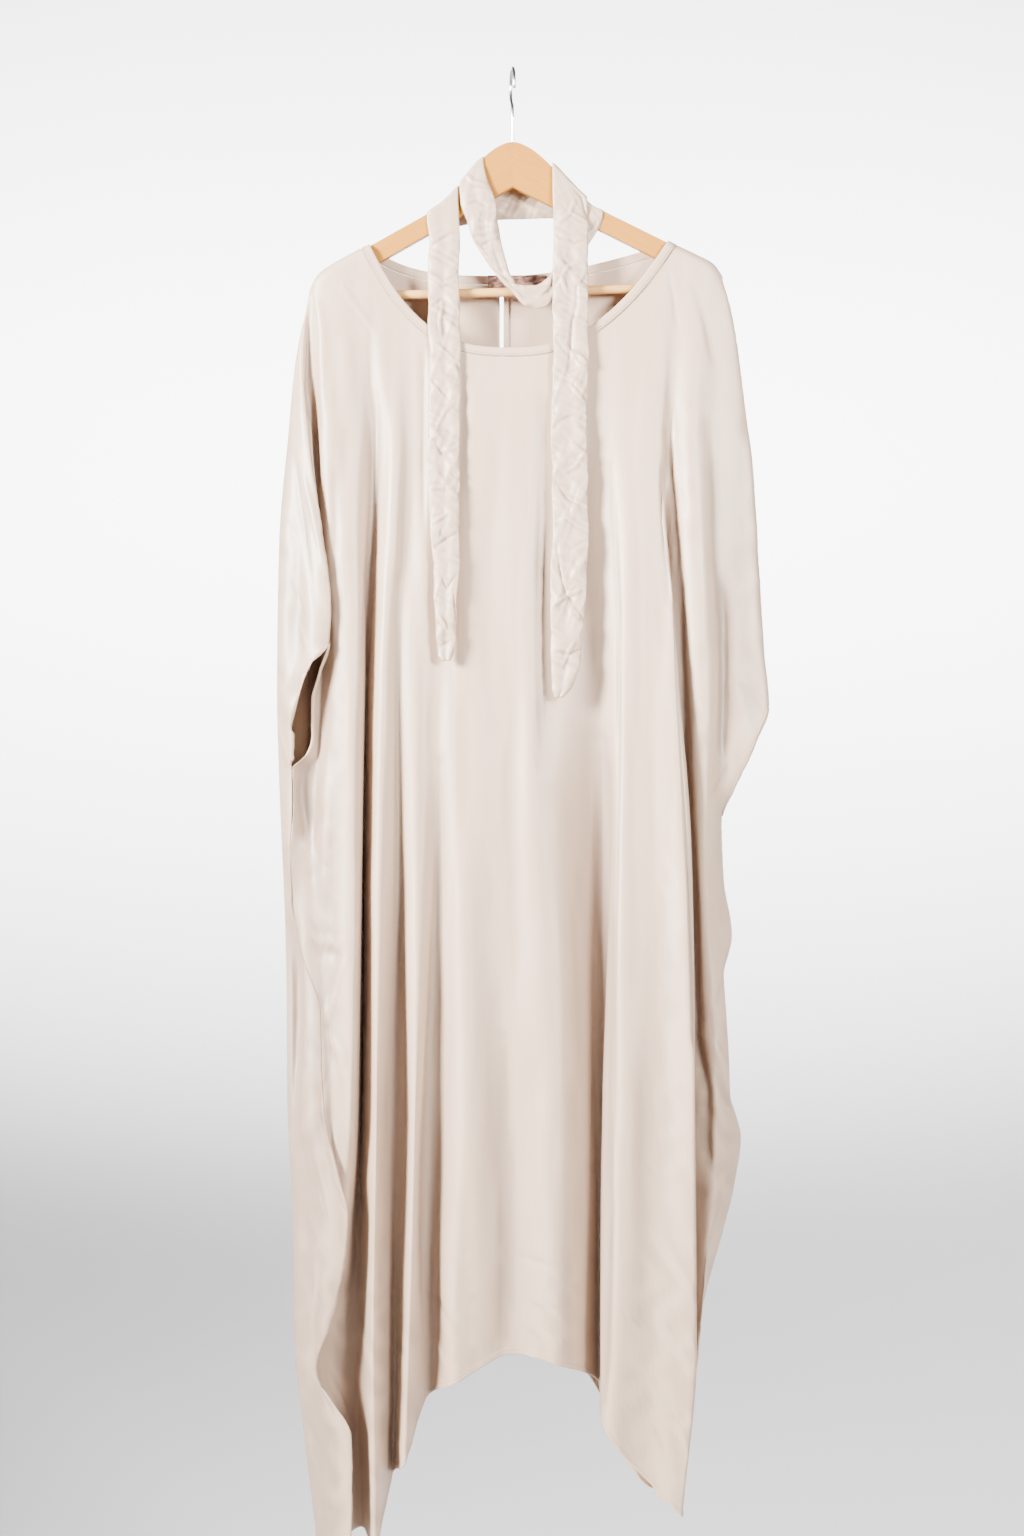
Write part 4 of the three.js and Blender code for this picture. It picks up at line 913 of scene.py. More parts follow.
def panel_grid(part, start, end, gap_at):
    """The grid of a body panel, with what is sewn onto it in mind."""
    columns = columns_of(part, start, end)
    tops, neck, on_ridge = tops_of(part, columns)
    hems = smooth_curve(range(RING_SIZE + 1), [line["hem"] for line in rings[part]]
                        + [rings[part][0]["hem"]])(columns)
    bend = tops + SHOULDER_ROWS[-1]
    shares = np.linspace(0, 1, MAIN_ROWS + 2)[1:-1, None]
    drops = np.concatenate([tops + np.array(SHOULDER_ROWS)[:, None],
                            mix(bend, hems - HEM_ROWS[0], shares),
                            hems - np.array(HEM_ROWS)[:, None]])
    u = np.broadcast_to(columns, drops.shape)
    points = cloth_at(part, u, drops)
    outwards = outward_at(part, u, drops)
    side = -1 if part == "front" else 1
    points[0, on_ridge, 1] = side * SEAM_GAP / 2
    outwards[0, on_ridge, 1] = 0
    outwards = unit(outwards)
    for i, place in ((0, start), (-1, end)):
        step = 0.02 if i == 0 else -0.02
        inward = cloth_at(part, u[:, i] + step, drops[:, i]) - cloth_at(part, u[:, i], drops[:, i])
        inward[:, 2] = 0
        points[:, i] += unit(inward) * gap_at(place, drops[:, i])[:, None]

    forward = smoothstep(-outwards[..., 1], 0.05, 0.35)
    backward = smoothstep(outwards[..., 1], 0.05, 0.35)
    x = points[..., 0]
    pushed = (crease_depths(x, drops, FRONT_CREASES) * forward
              + crease_depths(x, drops, BACK_CREASES) * backward)
    lift = -pushed * smoothstep(drops - tops, 4, 40) * smoothstep(hems - drops, -2, 12)
    lift -= crease_depths(x, drops, SEAM_GROOVES) * forward
    lift += uneven_lift(points, drops, tops, forward + backward)
    lift += sewn_lift(points, drops, tops, hems)
    points = points + outwards * lift[..., None]
    plain = [CLOTH_THICK] * (len(drops) - len(HEM_ROWS))
    thickness = np.array([*plain, *hem_rows_thickness(HEM_ROWS)])[:, None]
    return {"part": part, "columns": columns, "drops": drops, "neck": neck, "points": points,
            "outwards": outwards, "thickness": thickness,
            "painted_shade": painted_cloth_shade(points, outwards, drops, tops, lift, pushed)}


panels = {
    "front": panel_grid("front", 0, RIGHT_SIDE, side_gap),
    "back_right": panel_grid("back", RIGHT_SIDE, CENTRE_BACK, centre_back_gap),
    "back_left": panel_grid("back", CENTRE_BACK, RING_SIZE, centre_back_gap),
}


def body_panels():
    made = {}
    for name, panel in panels.items():
        piece = shell(name + "_cloth", panel["points"], panel["outwards"], panel["thickness"], SATIN,
                      painted_shade=panel["painted_shade"])
        made[name] = keep(piece, name)
    return made


def neck_stations():
    """Where the panels' columns reach the neckline: the front left to right, then the back."""
    stations = []
    for name, skip in (("front", 0), ("back_right", 0), ("back_left", 1)):
        panel = panels[name]
        found = [(panel["part"], u, t) for u, t in zip(panel["columns"], panel["neck"]) if not np.isnan(t)]
        if name != "front":
            found = [row for row in found if abs(row[2]) < NEARLY_ONE]
        stations += found[skip:]
    return stations


def neck_grid(stations, aways):
    """Places on the band round the neck at distances from its edge."""
    grid = np.zeros((len(aways), len(stations), 3))
    for i, (part, u, t) in enumerate(stations):
        x, drop = neckline_at(part, np.full(len(aways), t), np.array(aways, float))
        y = 0 if abs(t) > NEARLY_ONE else ring_at(rings[part], u, drop)[:, 1]
        grid[:, i] = np.stack([x, y * bend_at(x, drop), -drop], -1)
    return grid


def neck_binding():
    """A flat band of doubled cloth, rolled at the neck's edge."""
    aways = np.linspace(0, NECK["band"], 8)
    grid = neck_grid(neck_stations(), aways)
    outwards = grid_outwards(grid, closed_across=True)
    flush = NECK["band_thick"] / 2 - CLOTH_THICK
    grid = grid + outwards * flush
    thick = smooth_curve([0, 0.8, 2.5, 7, 8.4, 10], [1.0, 2.0, 2.2, 2.1, 1.7, 1.1])(aways)
    piece = shell("neck_binding_cloth", grid, outwards, thick[:, None], SATIN, closed_across=True)
    return keep(piece, "neck_binding")


# The edges of the cuff openings: the binding's name, its panel, the panel's edge column and the
# column beside that, and the edge's path.
CUFF_EDGES = [
    ("cuff_binding_left_front", "front", 0, 1, LEFT_CUFF["front"]),
    ("cuff_binding_left_back", "back_left", -1, -2, LEFT_CUFF["back"]),
    ("cuff_binding_right_front", "front", -1, -2, RIGHT_CUFF["front"]),
    ("cuff_binding_right_back", "back_right", 0, 1, RIGHT_CUFF["back"]),
]


def along_cuff(panel, edge, nearby, cuff, margin):
    """Places along a cuff's edge that far inside its ends, with the ways into the cloth and out."""
    drops = panel["drops"][:, edge]
    rows = (drops > cuff[0][0] + margin) & (drops < cuff[-1][0] - margin)
    at_edge = panel["points"][rows, edge]
    return at_edge, unit(panel["points"][rows, nearby] - at_edge), panel["outwards"][rows, edge]


def cuff_bindings():
    """A narrow folded strip round each edge of the cuff openings, over the panel's own edge."""
    half_profile = [(CUFF_BINDING_WIDTH, 0.75), (3.8, 1.15), (2, 1.25), (0.4, 1.05), (-0.5, 0.45)]
    profile = [*half_profile, (-0.75, 0), *[(away, -lift) for away, lift in half_profile[::-1]]]
    made = []
    for name, panel_name, edge, nearby, cuff in CUFF_EDGES:
        at_edge, across, normal = along_cuff(panels[panel_name], edge, nearby, cuff, 0)
        normal = unit(normal - across * (normal * across).sum(axis=1, keepdims=True))
        grid = np.stack([at_edge + across * away + normal * lift for away, lift in profile], axis=1)
        piece = shell(name + "_cloth", grid, grid_outwards(grid), 0.5, SATIN)
        made.append(keep(piece, name))
    return made


def place_across(part, x, drop, start, end):
    return crossing(np.full(x.shape, start, float), np.full(x.shape, end, float),
                    lambda u: cloth_at(part, u, drop)[..., 0] - x)


def strip_on_back(name, x, drop, start, end, thickness, material, clear):
    """A strip on the inner side of the back."""
    u = place_across("back", x, drop, start, end)
    outwards = outward_at("back", u, drop)
    lift = -(CLOTH_THICK / 2 + clear + thickness / 2)
    grid = cloth_at("back", u, drop) + outwards * lift
    return shell(name, grid, outwards, thickness, material)


def back_slit_facing():
    top = NECK["top"] + NECK["back"]["deep"] + NECK["band"] + 6
    drop = np.linspace(top, BACK_SLIT["bottom"], 40)[:, None]
    edge = cloth_at("back", np.full(drop.shape, float(CENTRE_BACK)), drop)[..., 0]
    x = edge + BACK_SLIT["half_gap"] + np.linspace(0, BACK_SLIT["facing"], 6)
    x, drop = np.broadcast_arrays(x, drop)
    piece = strip_on_back("back_slit_facing_cloth", x, drop, CENTRE_BACK - 1, CENTRE_BACK, 0.7, SATIN, 0.5)
    return keep(piece, "back_slit_facing")


def neck_label():
    x = np.linspace(LABEL["left"], LABEL["right"], 40)[None, :]
    drop = np.linspace(LABEL["top"], LABEL["bottom"], 10)[:, None]
    x, drop = np.broadcast_arrays(x, drop)
    piece = strip_on_back("neck_label_tape", x, drop, RIGHT_SIDE + 4, CENTRE_BACK + 4, LABEL["thick"],
                          WOVEN, 1.0)
    return keep(piece, "neck_label")


# The hanger, in its own level frame.
def cubic(a, b, c, d, count):
    t = np.linspace(0, 1, count + 1)[1:, None]
    a, b, c, d = (np.array(p, float) for p in (a, b, c, d))
    return list((1 - t)**3 * a + 3 * (1 - t)**2 * t * b + 3 * (1 - t) * t**2 * c + t**3 * d)


def quadratic(a, b, c, count):
    a, b, c = (np.array(p, float) for p in (a, b, c))
    return cubic(a, a + (b - a) * 2 / 3, c + (b - c) * 2 / 3, c, count)


def arm_top(x):
    return -ARM_APEX - math.tan(ARM_SLOPE) * x


def hump(count):
    """The hump over the middle, as points of x and z out to where the arm runs straight."""
    return [np.array([MITRE_GAP, -CREST_DROP]), *cubic(
        (MITRE_GAP, -CREST_DROP), (38, -CREST_DROP - 6), (55, arm_top(55)), (HUMP_END, arm_top(HUMP_END)),
        count)]


def arm_outline():
    """One arm seen from the front, as the right one."""
    tip = (ARM_REACH, arm_top(ARM_REACH))
    below_tip = (ARM_REACH, -ARM_APEX - 128)
    foot_corner = (ARM_REACH - 1, -BAR_DROP - 4)
    inner_foot = (FOOT_X, -BAR_DROP + 6.5)
    return [
        *hump(24), (206, arm_top(206)), *quadratic((206, arm_top(206)), tip, below_tip, 6),
        foot_corner, *quadratic(foot_corner, (ARM_REACH - 3, -BAR_DROP - 9), (208, -BAR_DROP - 9), 5),
        (FOOT_X + 2, -BAR_DROP - 8), (FOOT_X, -BAR_DROP - 6), inner_foot,
        *quadratic(inner_foot, (FOOT_X, arm_top(FOOT_X) - ARM_HEIGHT), (186, arm_top(186) - ARM_HEIGHT), 8),
        (MITRE_GAP, arm_top(0) - ARM_HEIGHT),
    ]


def tilted(places):
    """From the hanger's level frame to how it hangs, right arm up."""
    x, y, z = np.moveaxis(np.asarray(places, float), -1, 0)
    z = z + ARM_APEX
    return np.stack([x * math.cos(HANGER_TILT) - z * math.sin(HANGER_TILT), y,
                     x * math.sin(HANGER_TILT) + z * math.cos(HANGER_TILT) - ARM_APEX], -1)


def hanger_arm(name, side):
    """A flat arm with rounded edges. The mitre at the middle keeps its edge."""
    outline = [(float(x), float(z)) for x, z in arm_outline()]
    form = bmesh.new()
    front = [form.verts.new((side * x, -ARM_THICK / 2, z)) for x, z in outline]
    back = [form.verts.new((side * x, ARM_THICK / 2, z)) for x, z in outline]
    form.faces.new(front)
    form.faces.new(back[::-1])
    for i in range(len(outline)):
        j = (i + 1) % len(outline)
        form.faces.new((front[i], back[i], back[j], front[j]))
    rims = [edge for edge in form.edges if abs(edge.verts[0].co.y - edge.verts[1].co.y) < 0.1
            and not all(abs(vert.co.x) < SEAM_GAP for vert in edge.verts)]
    bmesh.ops.bevel(form, geom=rims, offset=2.6, segments=5, profile=0.5, affect="EDGES")
    bmesh.ops.recalc_face_normals(form, faces=form.faces)
    form.verts.index_update()
    places = np.array([vert.co for vert in form.verts])
    faces = [[vert.index for vert in face.verts] for face in form.faces]
    form.free()
    grain_shift = 500 * side
    along = np.abs(places[:, 0]) * math.cos(ARM_SLOPE) - places[:, 2] * math.sin(ARM_SLOPE)
    over = np.abs(places[:, 0]) * math.sin(ARM_SLOPE) + places[:, 2] * math.cos(ARM_SLOPE)
    flat = np.stack([along + grain_shift, over + places[:, 1] * 0.8], -1)
    piece = make_mesh(name + "_wood", tilted(places), faces, ARM_WOOD, flat, sharp=40)
    return keep(piece, name)


def ring_faces(rings_count, sides):
    """Faces between rings of points that follow each other."""
    ring = np.arange(rings_count * sides).reshape(rings_count, sides)
    faces = [[ring[i, k], ring[i, (k + 1) % sides], ring[i + 1, (k + 1) % sides], ring[i + 1, k]]
             for i in range(rings_count - 1) for k in range(sides)]
    return ring, faces


def rod(name, ends, radius, material):
    """A round bar along x, with its rims eased."""
    left, right = ends
    sides = 48
    ease = 0.8
    stations = [(left, radius - ease), (left + ease * 0.3, radius - ease * 0.3), (left + ease, radius),
                (right - ease, radius), (right - ease * 0.3, radius - ease * 0.3), (right, radius - ease)]
    turn = np.linspace(0, 2 * math.pi, sides, endpoint=False)
    places = [(x, r * math.sin(a), -BAR_DROP + r * math.cos(a)) for x, r in stations for a in turn]
    ring, faces = ring_faces(len(stations), sides)
    faces += [list(ring[0][::-1]), list(ring[-1])]
    flat = [(x, radius * abs(a - math.pi)) for x, _ in stations for a in turn]
    return make_mesh(name, tilted(places), faces, material, flat, sharp=50)


def tube(name, path, radius, material):
    """A wire along a path of points, closed with flat caps at its ends."""
    curve = bpy.data.curves.new(name, "CURVE")
    curve.dimensions = "3D"
    spline = curve.splines.new("BEZIER")
    spline.bezier_points.add(len(path) - 1)
    for point, place in zip(spline.bezier_points, path):
        point.co = Vector(place) * MM
        point.handle_left_type = point.handle_right_type = "AUTO"
    spline.resolution_u = 6
    curve.bevel_depth = radius * MM
    curve.bevel_resolution = 8
    curve.use_fill_caps = True
    wire = bpy.data.objects.new(name + "_path", curve)
    bpy.context.collection.objects.link(wire)
    mesh = bpy.data.meshes.new_from_object(wire.evaluated_get(bpy.context.evaluated_depsgraph_get()))
    bpy.data.objects.remove(wire)
    mesh.materials.clear()
    mesh.materials.append(material)
    mesh.polygons.foreach_set("use_smooth", np.ones(len(mesh.polygons), bool))
    mesh.set_sharp_from_angle(angle=math.radians(50))
    piece = bpy.data.objects.new(name, mesh)
    bpy.context.collection.objects.link(piece)
    return piece


def hanger_hook():
    """A wire hook, seen nearly edge on: up from the crest, back, over the top, down in front."""
    centre = WIRE_RADIUS - HOOK_RADIUS
    low = centre - HOOK_RADIUS
    path = [(0, -CREST_DROP - 1), (0, -CREST_DROP + 14), (0, low - 10), (3, low - 2)]
    for angle in np.linspace(-math.pi / 3, HOOK_END, 24):
        path.append((HOOK_RADIUS * math.cos(angle), centre + HOOK_RADIUS * math.sin(angle)))
    turned = [(-y * math.sin(HOOK_TURN), y * math.cos(HOOK_TURN), z) for y, z in path]
    return keep(tube("hanger_hook_wire", turned, WIRE_RADIUS, WIRE), "hanger_hook")


def hanger():
    return [
        hanger_arm("hanger_arm_left", -1), hanger_arm("hanger_arm_right", 1),
        keep(rod("hanger_bar_wood", (-BAR_HALF, BAR_HALF), BAR_RADIUS, BAR_WOOD), "hanger_bar"),
        hanger_hook(),
    ]


# The sash. Each row of a tail is a section across it, as (drop, left, right, y), and of the loop,
# as (outer x, outer drop, inner x, inner drop, y). The back stretch is (x, top, bottom).
SASH_THICK = 1.9
SASH_LAYER_CLEAR = (1.6, 4.2)
WRAP_STEPS = 8
WRAP_SIDE = 4
LEFT_TAIL = [
    (186, -92, -58, -10), (230, -92, -58, -13), (290, -92, -57, -22), (360, -91, -57, -32),
    (430, -92, -57, -40), (490, -91, -58, -45), (536, -88, -58, -48), (580, -85, -60, -51),
    (620, -83, -61, -53), (645, -81, -64, -54), (652, -77, -67, -54),
]
RIGHT_TAIL = [
    (180, 44, 82, -14), (230, 44, 83, -19), (290, 44, 83, -26), (360, 43, 82, -34),
    (430, 43, 82, -40), (500, 43, 82, -44), (560, 42, 82, -47), (620, 42, 77, -50),
    (655, 42, 73, -51), (682, 43, 64, -51), (692, 46, 55, -51),
]
LOOP = [
    (-57, 148, -29, 119, -10), (-53, 162, -21, 142, -11), (-43, 189, -16, 169, -12),
    (-27, 214, -10, 196, -12.5), (-14, 232, -3, 224, -13), (0, 247, 4, 236, -13.5),
    (15, 262, 15, 239, -14), (27, 265, 27, 238, -14), (43, 256, 41, 225, -12.5),
    (62, 231, 51, 193, -10.5), (83, 195, 58, 164, -9),
]
BACK_STRETCH = [
    (-88, 150, 176), (-60, 138, 170), (-20, 128, 163), (12, 126, 162), (44, 128, 161), (75, 140, 164),
    (94, 150, 172),
]
BACK_STRETCH_Y = 14.6

hump_x, hump_z = np.array(hump(8)).T
hump_drop = smooth_curve(hump_x, -hump_z)


def arm_top_drop(x):
    """The drop of the arms' top at x, tilted as the hanger hangs."""
    def level(at):
        at = abs(at)
        return float(hump_drop(at)) if at < HUMP_END else ARM_APEX + math.tan(ARM_SLOPE) * at
    level_x = x - math.tan(HANGER_TILT) * (level(x) - ARM_APEX)
    return level(level_x) - math.tan(HANGER_TILT) * level_x


def over_arm(x, angle, clear):
    """A point of a band that passes over an arm: angle 0 is in front, 90 degrees is on top."""
    slope = arm_top_drop(x + 0.5) - arm_top_drop(x - 0.5)
    lift = clear * math.hypot(1, slope)
    rise = math.sin(angle)
    reach = math.cos(angle)
    depth = ARM_THICK / 2 + clear
    drop = arm_top_drop(x) + WRAP_SIDE - (WRAP_SIDE + lift) * math.copysign(math.sqrt(abs(rise)), rise)
    return (x, -depth * math.copysign(math.sqrt(abs(reach)), reach), -drop)


def wrap_rows(left, right, clear):
    return [[over_arm(x, mix(math.pi, 0, j / WRAP_STEPS), clear) for x in np.linspace(left, right, 5)]
            for j in range(WRAP_STEPS + 1)]


def section_row(left, right):
    """A section across the sash, with a soft fold down each half."""
    places = np.linspace(left, right, 5)
    places[[1, 3], 1] -= 1.2
    return places.tolist()


def refined(rows, step, columns):
    """A finer grid on smooth curves through a coarse one."""
    coarse = np.array(rows, float)
    gone = np.concatenate([[0], np.cumsum(
        np.linalg.norm(np.diff(coarse[:, coarse.shape[1] // 2], axis=0), axis=1))])
    at = np.linspace(0, gone[-1], int(gone[-1] / step) + 1)
    tall = np.stack([[smooth_curve(gone, coarse[:, i, k])(at) for k in range(3)]
                     for i in range(coarse.shape[1])])
    tall = np.moveaxis(tall, 2, 0)
    share = np.linspace(0, 1, coarse.shape[1])
    across = np.linspace(0, 1, columns)
    fine = np.stack([[smooth_curve(share, tall[j, :, k])(across) for k in range(3)]
                     for j in range(len(at))])
    return np.moveaxis(fine, 2, 1), at


# Creases of the sash's stretches in front, in the same places as those of the body cloth.
LEFT_TAIL_CREASES = [
    crease(2, 2, (-90, 195), (-66, 181)),
    crease(1.8, -2, (-91, 228), (-75, 238), (-61, 232)),
    crease(1.6, -2, (-77, 255), (-79, 280), (-78, 299)),
    crease(1.8, 1.8, (-90, 262), (-77, 255), (-62, 268)),
    crease(1.6, -1.8, (-84, 306), (-66, 322)),
    crease(2, 1.8, (-88, 346), (-69, 367)),
    crease(1.6, -1.8, (-63, 367), (-74, 380), (-84, 400)),
    crease(2, 2.2, (-85, 411), (-76, 426), (-64, 432)),
    crease(1.6, -2, (-91, 462), (-71, 463)),
    crease(1.8, -2, (-88, 502), (-68, 489)),
    crease(1.8, 2.2, (-88, 531), (-72, 519), (-59, 512)),
    crease(1.5, 1.8, (-80, 558), (-71, 574), (-62, 558)),
    crease(1.2, 1.8, (-63, 576), (-62, 609)),
    crease(1.6, -1.8, (-82, 600), (-70, 622)),
    crease(1.4, 1.6, (-78, 636), (-66, 630)),
]
RIGHT_TAIL_CREASES = [
    crease(1.8, 2.2, (65, 130), (76, 143), (82, 167)),
    crease(1.8, -2.2, (69, 143), (62, 160), (50, 169)),
    crease(1.8, -2, (62, 160), (81, 170)),
    crease(1.6, 1.9, (58, 188), (68, 193), (78, 190)),
    crease(1.8, -2.2, (53, 229), (62, 218), (72, 213)),
    crease(1.8, -2, (53, 229), (60, 250)),
    crease(1.6, 1.8, (44, 242), (53, 229)),
    crease(2, 2.6, (81, 229), (71, 242), (70, 264), (65, 281), (60, 334)),
    crease(1.4, -2.2, (71, 318), (81, 328)),
    crease(1.8, 2, (46, 300), (58, 316)),
    crease(1.8, -2, (62, 350), (80, 372)),
    crease(1.8, 2.2, (44, 400), (56, 388), (68, 384)),
    crease(1.8, -2.2, (80, 424), (68, 440), (56, 446)),
    crease(1.6, 2, (50, 462), (62, 478), (76, 484)),
    crease(1.6, -1.8, (46, 500), (58, 496), (70, 506)),
    crease(1.8, 2.4, (47, 521), (52, 552), (58, 578), (81, 611)),
    crease(1.8, -2.2, (43, 593), (58, 582), (78, 573)),
    crease(1.6, 2.2, (47, 642), (62, 645), (75, 640)),
    crease(1.6, -1.8, (52, 660), (68, 630)),
]
LOOP_CREASES = [
    crease(1.5, -2.2, (-52, 170), (-43, 191), (-23, 213)),
    crease(1.5, 2.2, (-25, 219), (1, 237), (27, 238), (38, 228), (43, 223)),
    crease(1.8, -1.9, (-51, 117), (-43, 126), (-28, 130)),
    crease(1.8, 1.8, (-50, 150), (-40, 146), (-28, 154)),
    crease(1.6, 1.8, (-36, 196), (-22, 190)),
]


def crumple(length, width, count, seed):
    """Seeded short creases over a band, as rows like the listed ones: mostly slanting."""
    draw = np.random.default_rng(seed)
    creases = []
    for _ in range(count):
        x = draw.uniform(0.05, 0.95) * width
        along = draw.uniform(0.03, 0.97) * length
        angle = draw.choice([-1, 1]) * draw.uniform(0.35, 1.25)
        half = draw.uniform(0.2, 0.5) * width
        reach = np.array([math.cos(angle), math.sin(angle)]) * half
        bow = draw.uniform(-0.18, 0.18) * half
        middle = (x - reach[1] / half * bow, along + reach[0] / half * bow)
        creases.append(crease(draw.uniform(1.0, 2.4), draw.uniform(-1.3, 1.4),
                              (x - reach[0], along - reach[1]), middle, (x + reach[0], along + reach[1])))
    return creases


def crushed(x, along, seed):
    """Crushed cloth: flat facets that meet in slanting ridges."""
    lift = np.zeros(x.shape)
    for k, (turn, across, down, high) in enumerate(((0.6, 21, 60, 2.6), (-0.7, 15, 44, 2.1),
                                                    (0.35, 9, 38, 1.3), (-1.1, 7, 24, 0.9))):
        p = x * math.cos(turn) + along * math.sin(turn)
        q = along * math.cos(turn) - x * math.sin(turn)
        lift -= high * (np.abs(wander(np.stack([p, q, 0 * p], -1), (across, down, 1), seed + k)) - 0.3)
    return lift


def sash_band(node, rows, small, creases):
    """A flat tube of cloth pressed into a band. The small creases are in its own flat sizes, and the
    others are placed as on the body, on what lies in front."""
    name = node + "_cloth"
    grid, gone = refined(rows, 1.7, 31)
    outwards = grid_outwards(grid)
    share = np.linspace(0, 1, grid.shape[1])
    width = np.linalg.norm(grid[:, -1] - grid[:, 0], axis=1)
    x = share[None, :] * width[:, None]
    drop = np.broadcast_to(gone[:, None], x.shape)
    fade = smoothstep(gone, 40, 70)[:, None] * smoothstep(gone[-1] - gone, 2, 12)[:, None]
    lift = -crease_depths(x, drop, small) * mix(0.35, 1, fade)
    lift += crushed(x, drop, 40 + 5 * len(name)) * mix(0.3, 1, fade)
    lift -= crease_depths(grid[..., 0], -grid[..., 2], creases) * smoothstep(-grid[..., 1], 5, 8)
    grid = grid + outwards * lift[..., None]
    edge = 0.9 * wander(np.stack([0 * gone, 0 * gone, gone], -1), (1, 1, 17), 11 + len(name))
    grid[..., 0] += (edge[:, None] + 0.5 * np.sin(gone / 29)[:, None]) * fade
    thick = SASH_THICK * (1 - np.abs(2 * share - 1) ** 7) + 0.5
    # Painted shade over the whole band, faint, and deeper in its creases.
    piece = shell(name, grid, grid_outwards(grid), thick[None, :], SATIN,
                  painted_shade=np.clip(0.15 + 1.6 * fine_dips(lift, 2), 0, 0.75))
    return keep(piece, node)


def sash():
    """The sash's stretches. The right tail lies over the loop where both pass over the arm."""
    first, second = SASH_LAYER_CLEAR

    def tail(table):
        return [section_row((left, y, -drop), (right, y, -drop)) for drop, left, right, y in table]

    loop = [section_row((ox, y, -oz), (ix, y, -iz)) for ox, oz, ix, iz, y in LOOP]
    back = [section_row((x, BACK_STRETCH_Y, -bottom), (x, BACK_STRETCH_Y, -top))
            for x, top, bottom in BACK_STRETCH]
    return {
        "left": sash_band("sash_left_tail", wrap_rows(-94, -60, first) + tail(LEFT_TAIL),
                          crumple(490, 34, 16, 21), LEFT_TAIL_CREASES),
        "right": sash_band("sash_right_tail", wrap_rows(44, 82, second) + tail(RIGHT_TAIL),
                           crumple(530, 38, 20, 22), RIGHT_TAIL_CREASES),
        "loop": sash_band("sash_loop", wrap_rows(-58, -32, first) + loop
                          + wrap_rows(100, 66, first)[::-1], crumple(320, 28, 12, 23), LOOP_CREASES),
        "back": sash_band("sash_back", back, crumple(180, 30, 8, 24), []),
    }


def stitch_tree():
    """A row of short thread stitches along each path of a mesh of edges."""
    tree = bpy.data.node_groups.new("stitch_row", "GeometryNodeTree")
    tree.interface.new_socket("Paths", in_out="INPUT", socket_type="NodeSocketGeometry")
    for name, value in (("Pitch", 0.003), ("Length", 0.0022), ("Thickness", 0.0005)):
        socket = tree.interface.new_socket(name, in_out="INPUT", socket_type="NodeSocketFloat")
        socket.default_value = value
    tree.interface.new_socket("Thread", in_out="INPUT", socket_type="NodeSocketMaterial")
    tree.interface.new_socket("Stitches", in_out="OUTPUT", socket_type="NodeSocketGeometry")
    nodes = tree.nodes
    link = tree.links.new
    given = nodes.new("NodeGroupInput")
    given_out = nodes.new("NodeGroupOutput")
    curve = nodes.new("GeometryNodeMeshToCurve")
    spread = nodes.new("GeometryNodeResampleCurve")
    spread.mode = "LENGTH"
    tangent = nodes.new("GeometryNodeInputTangent")
    turn = nodes.new("FunctionNodeAlignRotationToVector")
    turn.axis = "Z"
    capsule = nodes.new("GeometryNodeMeshUVSphere")
    capsule.inputs["Segments"].default_value = 6
    capsule.inputs["Rings"].default_value = 4
    capsule.inputs["Radius"].default_value = 0.5
    size = nodes.new("ShaderNodeCombineXYZ")
    place = nodes.new("GeometryNodeInstanceOnPoints")
    solid = nodes.new("GeometryNodeRealizeInstances")
    dye = nodes.new("GeometryNodeSetMaterial")
    link(given.outputs["Paths"], curve.inputs["Mesh"])
    link(curve.outputs["Curve"], spread.inputs["Curve"])
    link(given.outputs["Pitch"], spread.inputs["Length"])
    link(tangent.outputs["Tangent"], turn.inputs["Vector"])
    link(given.outputs["Thickness"], size.inputs["X"])
    link(given.outputs["Thickness"], size.inputs["Y"])
    link(given.outputs["Length"], size.inputs["Z"])
    link(spread.outputs["Curve"], place.inputs["Points"])
    link(capsule.outputs["Mesh"], place.inputs["Instance"])
    link(turn.outputs["Rotation"], place.inputs["Rotation"])
    link(size.outputs["Vector"], place.inputs["Scale"])
    link(place.outputs["Instances"], solid.inputs["Geometry"])
    link(solid.outputs["Geometry"], dye.inputs["Geometry"])
    link(given.outputs["Thread"], dye.inputs["Material"])
    link(dye.outputs["Geometry"], given_out.inputs["Stitches"])
    return tree


STITCH_ROW = stitch_tree()


def stitch_rows(name, paths, pitch=3.0, length=2.1, thickness=0.7):
    """Stitches along paths of places in millimetres, as one mesh."""
    places = np.concatenate(paths)
    edges = []
    start = 0
    for path in paths:
        edges += [(start + i, start + i + 1) for i in range(len(path) - 1)]
        start += len(path)
    mesh = bpy.data.meshes.new(name + "_paths")
    mesh.from_pydata((places * MM).tolist(), edges, [])
    piece = bpy.data.objects.new(name + "_paths", mesh)
    bpy.context.collection.objects.link(piece)
    modifier = piece.modifiers.new("stitches", "NODES")
    modifier.node_group = STITCH_ROW
    inputs = {item.name: item.identifier for item in STITCH_ROW.interface.items_tree
              if item.in_out == "INPUT"}
    modifier[inputs["Pitch"]] = pitch * MM
    modifier[inputs["Length"]] = length * MM
    modifier[inputs["Thickness"]] = thickness * MM
    modifier[inputs["Thread"]] = THREAD
    sewn = bpy.data.meshes.new_from_object(piece.evaluated_get(bpy.context.evaluated_depsgraph_get()))
    bpy.data.objects.remove(piece)
    sewn.polygons.foreach_set("use_smooth", np.ones(len(sewn.polygons), bool))
    row = bpy.data.objects.new(name, sewn)
    bpy.context.collection.objects.link(row)
    return keep(row, None)


def on_panel(panel, row, lift):
    """A line of places along one row of a panel's grid, on its outer face."""
    return panel["points"][row] + panel["outwards"][row] * lift


